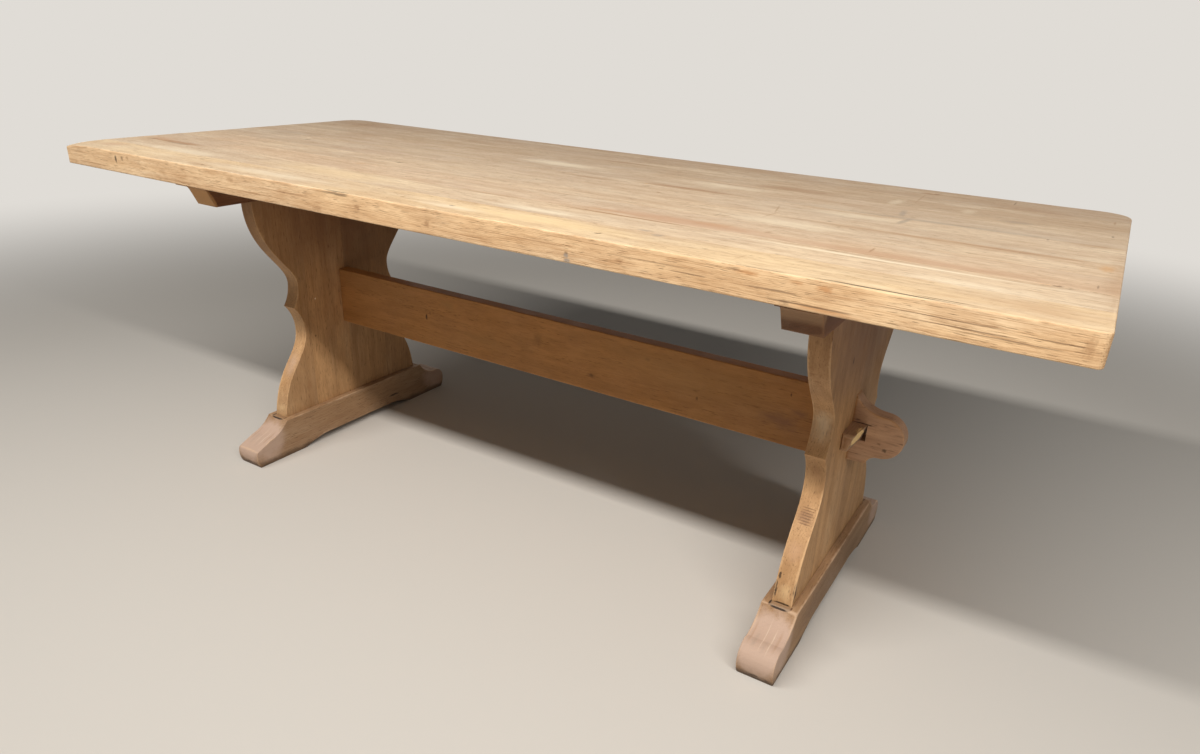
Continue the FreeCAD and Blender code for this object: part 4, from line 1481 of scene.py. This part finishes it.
class TABLE_OT_joinery(bpy.types.Operator):
    """Finishes the hidden tongues and loose tenons"""
    bl_idname = "trestle_table.joinery"
    bl_label = "Tongues and tenons"

    def execute(self, context):
        colour = tuple(context.scene.trestle_table_trestle.inner)
        for node, grain in (("top_tongues", LENGTHWISE), ("head_tenons", UPRIGHT)):
            material = oak_material(
                node + "_oak", grain, (0.31, 0.07, 0.6), 6.2,
                oak_tints(colour, (130, 92, 60), depth=0.5), wear=0.0)
            set_material(node, material)
        return {"FINISHED"}


def set_material(node, material):
    """Dresses a CAD node that stays as it is."""
    slots = frame["nodes"][node].data.materials
    if not slots:
        slots.append(material)
    for number in range(len(slots)):
        slots[number] = material


class TABLE_OT_screws(bpy.types.Operator):
    """Finishes the screws and washers"""
    bl_idname = "trestle_table.screws"
    bl_label = "Screws and washers"

    def execute(self, context):
        material = steel_material(tuple(context.scene.trestle_table_trestle.steel))
        for node in ("top_screws", "foot_screws", "foot_screw_washers"):
            set_material(node, material)
        return {"FINISHED"}


# ---- Studio ----

# Which way the camera looks, and which way lies to its right
LOOK = Vector((-0.46541, 0.78531, -0.40828))
RIGHT = Vector((0.84998, 0.52519, 0.04126))
SENSOR_MILLIMETRES = 36
FLOOR_HALF_WIDTH = 40.0
KEY_LAMP_SIZE = (6.0, 0.16)
KEY_LAMP_COLOUR = (1, 0.985, 0.965)
# How high above the floor the key lamp is aimed
KEY_LAMP_AIM = 0.6
SKY_COLOUR = (0.98, 0.99, 1.0)


def make_camera(settings):
    """Camera at standing height, off the table's front right corner."""
    data = bpy.data.cameras.new("camera")
    data.sensor_width = SENSOR_MILLIMETRES
    data.lens = settings.lens
    data.shift_y = settings.shift
    camera = new_piece("camera", data)
    back = -LOOK.normalized()
    up = back.cross(RIGHT).normalized()
    right = up.cross(back)
    turn = Matrix((right, up, back)).transposed().to_4x4()
    camera.matrix_world = Matrix.Translation(settings.eye) @ turn
    bpy.context.scene.camera = camera


def seen_directly(tree):
    """1 for what the camera, a mirror or a glass sees, 0 for the light that falls on things."""
    path = tree.nodes.new("ShaderNodeLightPath").outputs
    mirrored = calc(tree, "MAXIMUM", path["Is Glossy Ray"], path["Is Transmission Ray"])
    return calc(tree, "MAXIMUM", path["Is Camera Ray"], mirrored)


def make_floor(settings):
    """Pale floor that keeps the table's shadow and fades into the background further out."""
    mesh = bpy.data.meshes.new("floor")
    mesh.from_pydata([(x * FLOOR_HALF_WIDTH, y * FLOOR_HALF_WIDTH, 0)
                      for x, y in ((-1, -1), (1, -1), (1, 1), (-1, 1))], [], [(0, 1, 2, 3)])
    floor = new_piece("floor", mesh)
    material, tree, shader, place = new_material("pale_floor")
    shader.inputs["Base Color"].default_value = (*settings.floor, 1)
    shader.inputs["Roughness"].default_value = 0.85
    shader.inputs["Specular IOR Level"].default_value = 0.1
    distance = vector_calc(tree, "LENGTH", place)
    far = smooth_step(tree, distance, settings.fade_start, settings.fade_end)
    glow = tree.nodes.new("ShaderNodeEmission")
    glow.inputs["Color"].default_value = (*settings.background, 1)
    blend_shaders(tree, calc(tree, "MULTIPLY", far, seen_directly(tree)), shader.outputs[0],
                  glow.outputs[0], "Material Output")
    mesh.materials.append(material)


def make_key_lamp(settings):
    """Long soft lamp that hangs in front of the table, parallel to its length."""
    data = bpy.data.lights.new("key_light", "AREA")
    data.shape = "RECTANGLE"
    data.size, data.size_y = KEY_LAMP_SIZE
    data.energy = settings.key_power
    data.color = KEY_LAMP_COLOUR
    lamp = new_piece("key_light", data)
    place = Vector(settings.key_place)
    aim = Vector((place.x, 0.0, KEY_LAMP_AIM))
    lamp.location = place
    lamp.rotation_euler = (aim - place).to_track_quat("-Z", "Y").to_euler()


def make_world(settings):
    """Pale background to look at, and a weaker even light from it."""
    world = bpy.data.worlds.new("studio_sky")
    world.use_nodes = True
    tree = world.node_tree
    sky = tree.nodes["Background"]
    sky.inputs["Color"].default_value = (*SKY_COLOUR, 1)
    sky.inputs["Strength"].default_value = settings.sky
    backdrop = tree.nodes.new("ShaderNodeBackground")
    backdrop.inputs["Color"].default_value = (*settings.background, 1)
    blend_shaders(tree, seen_directly(tree), sky.outputs[0], backdrop.outputs[0],
                  "World Output")
    bpy.context.scene.world = world


class TABLE_OT_studio(bpy.types.Operator):
    """Sets up the camera, the lights and the floor"""
    bl_idname = "trestle_table.studio"
    bl_label = "Studio"

    def execute(self, context):
        settings = context.scene.trestle_table_studio
        make_camera(settings)
        make_floor(settings)
        make_world(settings)
        make_key_lamp(settings)
        context.scene.view_settings.view_transform = "Standard"
        return {"FINISHED"}


# ---- Add-on ----

STEPS = (TABLE_OT_studio, TABLE_OT_top_boards, TABLE_OT_panels, TABLE_OT_feet, TABLE_OT_bearers,
         TABLE_OT_stretcher, TABLE_OT_wedges, TABLE_OT_joinery, TABLE_OT_screws)
SETTINGS = {"trestle_table_top": TopSettings, "trestle_table_trestle": TrestleSettings,
            "trestle_table_studio": StudioSettings}


class VIEW3D_PT_trestle_table(bpy.types.Panel):
    """Lists the steps that dress the table"""
    bl_label = "Trestle Table"
    bl_space_type = "VIEW_3D"
    bl_region_type = "UI"
    bl_category = "Trestle Table"

    def draw(self, context):
        for step in STEPS:
            self.layout.operator(step.bl_idname)
        for name in SETTINGS:
            settings = getattr(context.scene, name)
            box = self.layout.box()
            for key in settings.__annotations__:
                box.prop(settings, key)


CLASSES = (*SETTINGS.values(), *STEPS, VIEW3D_PT_trestle_table)


def register():
    for item in CLASSES:
        bpy.utils.register_class(item)
    for name, kind in SETTINGS.items():
        setattr(bpy.types.Scene, name, PointerProperty(type=kind))


def unregister():
    for name in SETTINGS:
        delattr(bpy.types.Scene, name)
    for item in reversed(CLASSES):
        bpy.utils.unregister_class(item)


def main():
    """Builds the whole scene, one step after another."""
    register()
    make_shared_groups()
    for step in STEPS:
        area, name = step.bl_idname.split(".")
        getattr(getattr(bpy.ops, area), name)()


if __name__ == "__main__":
    main()
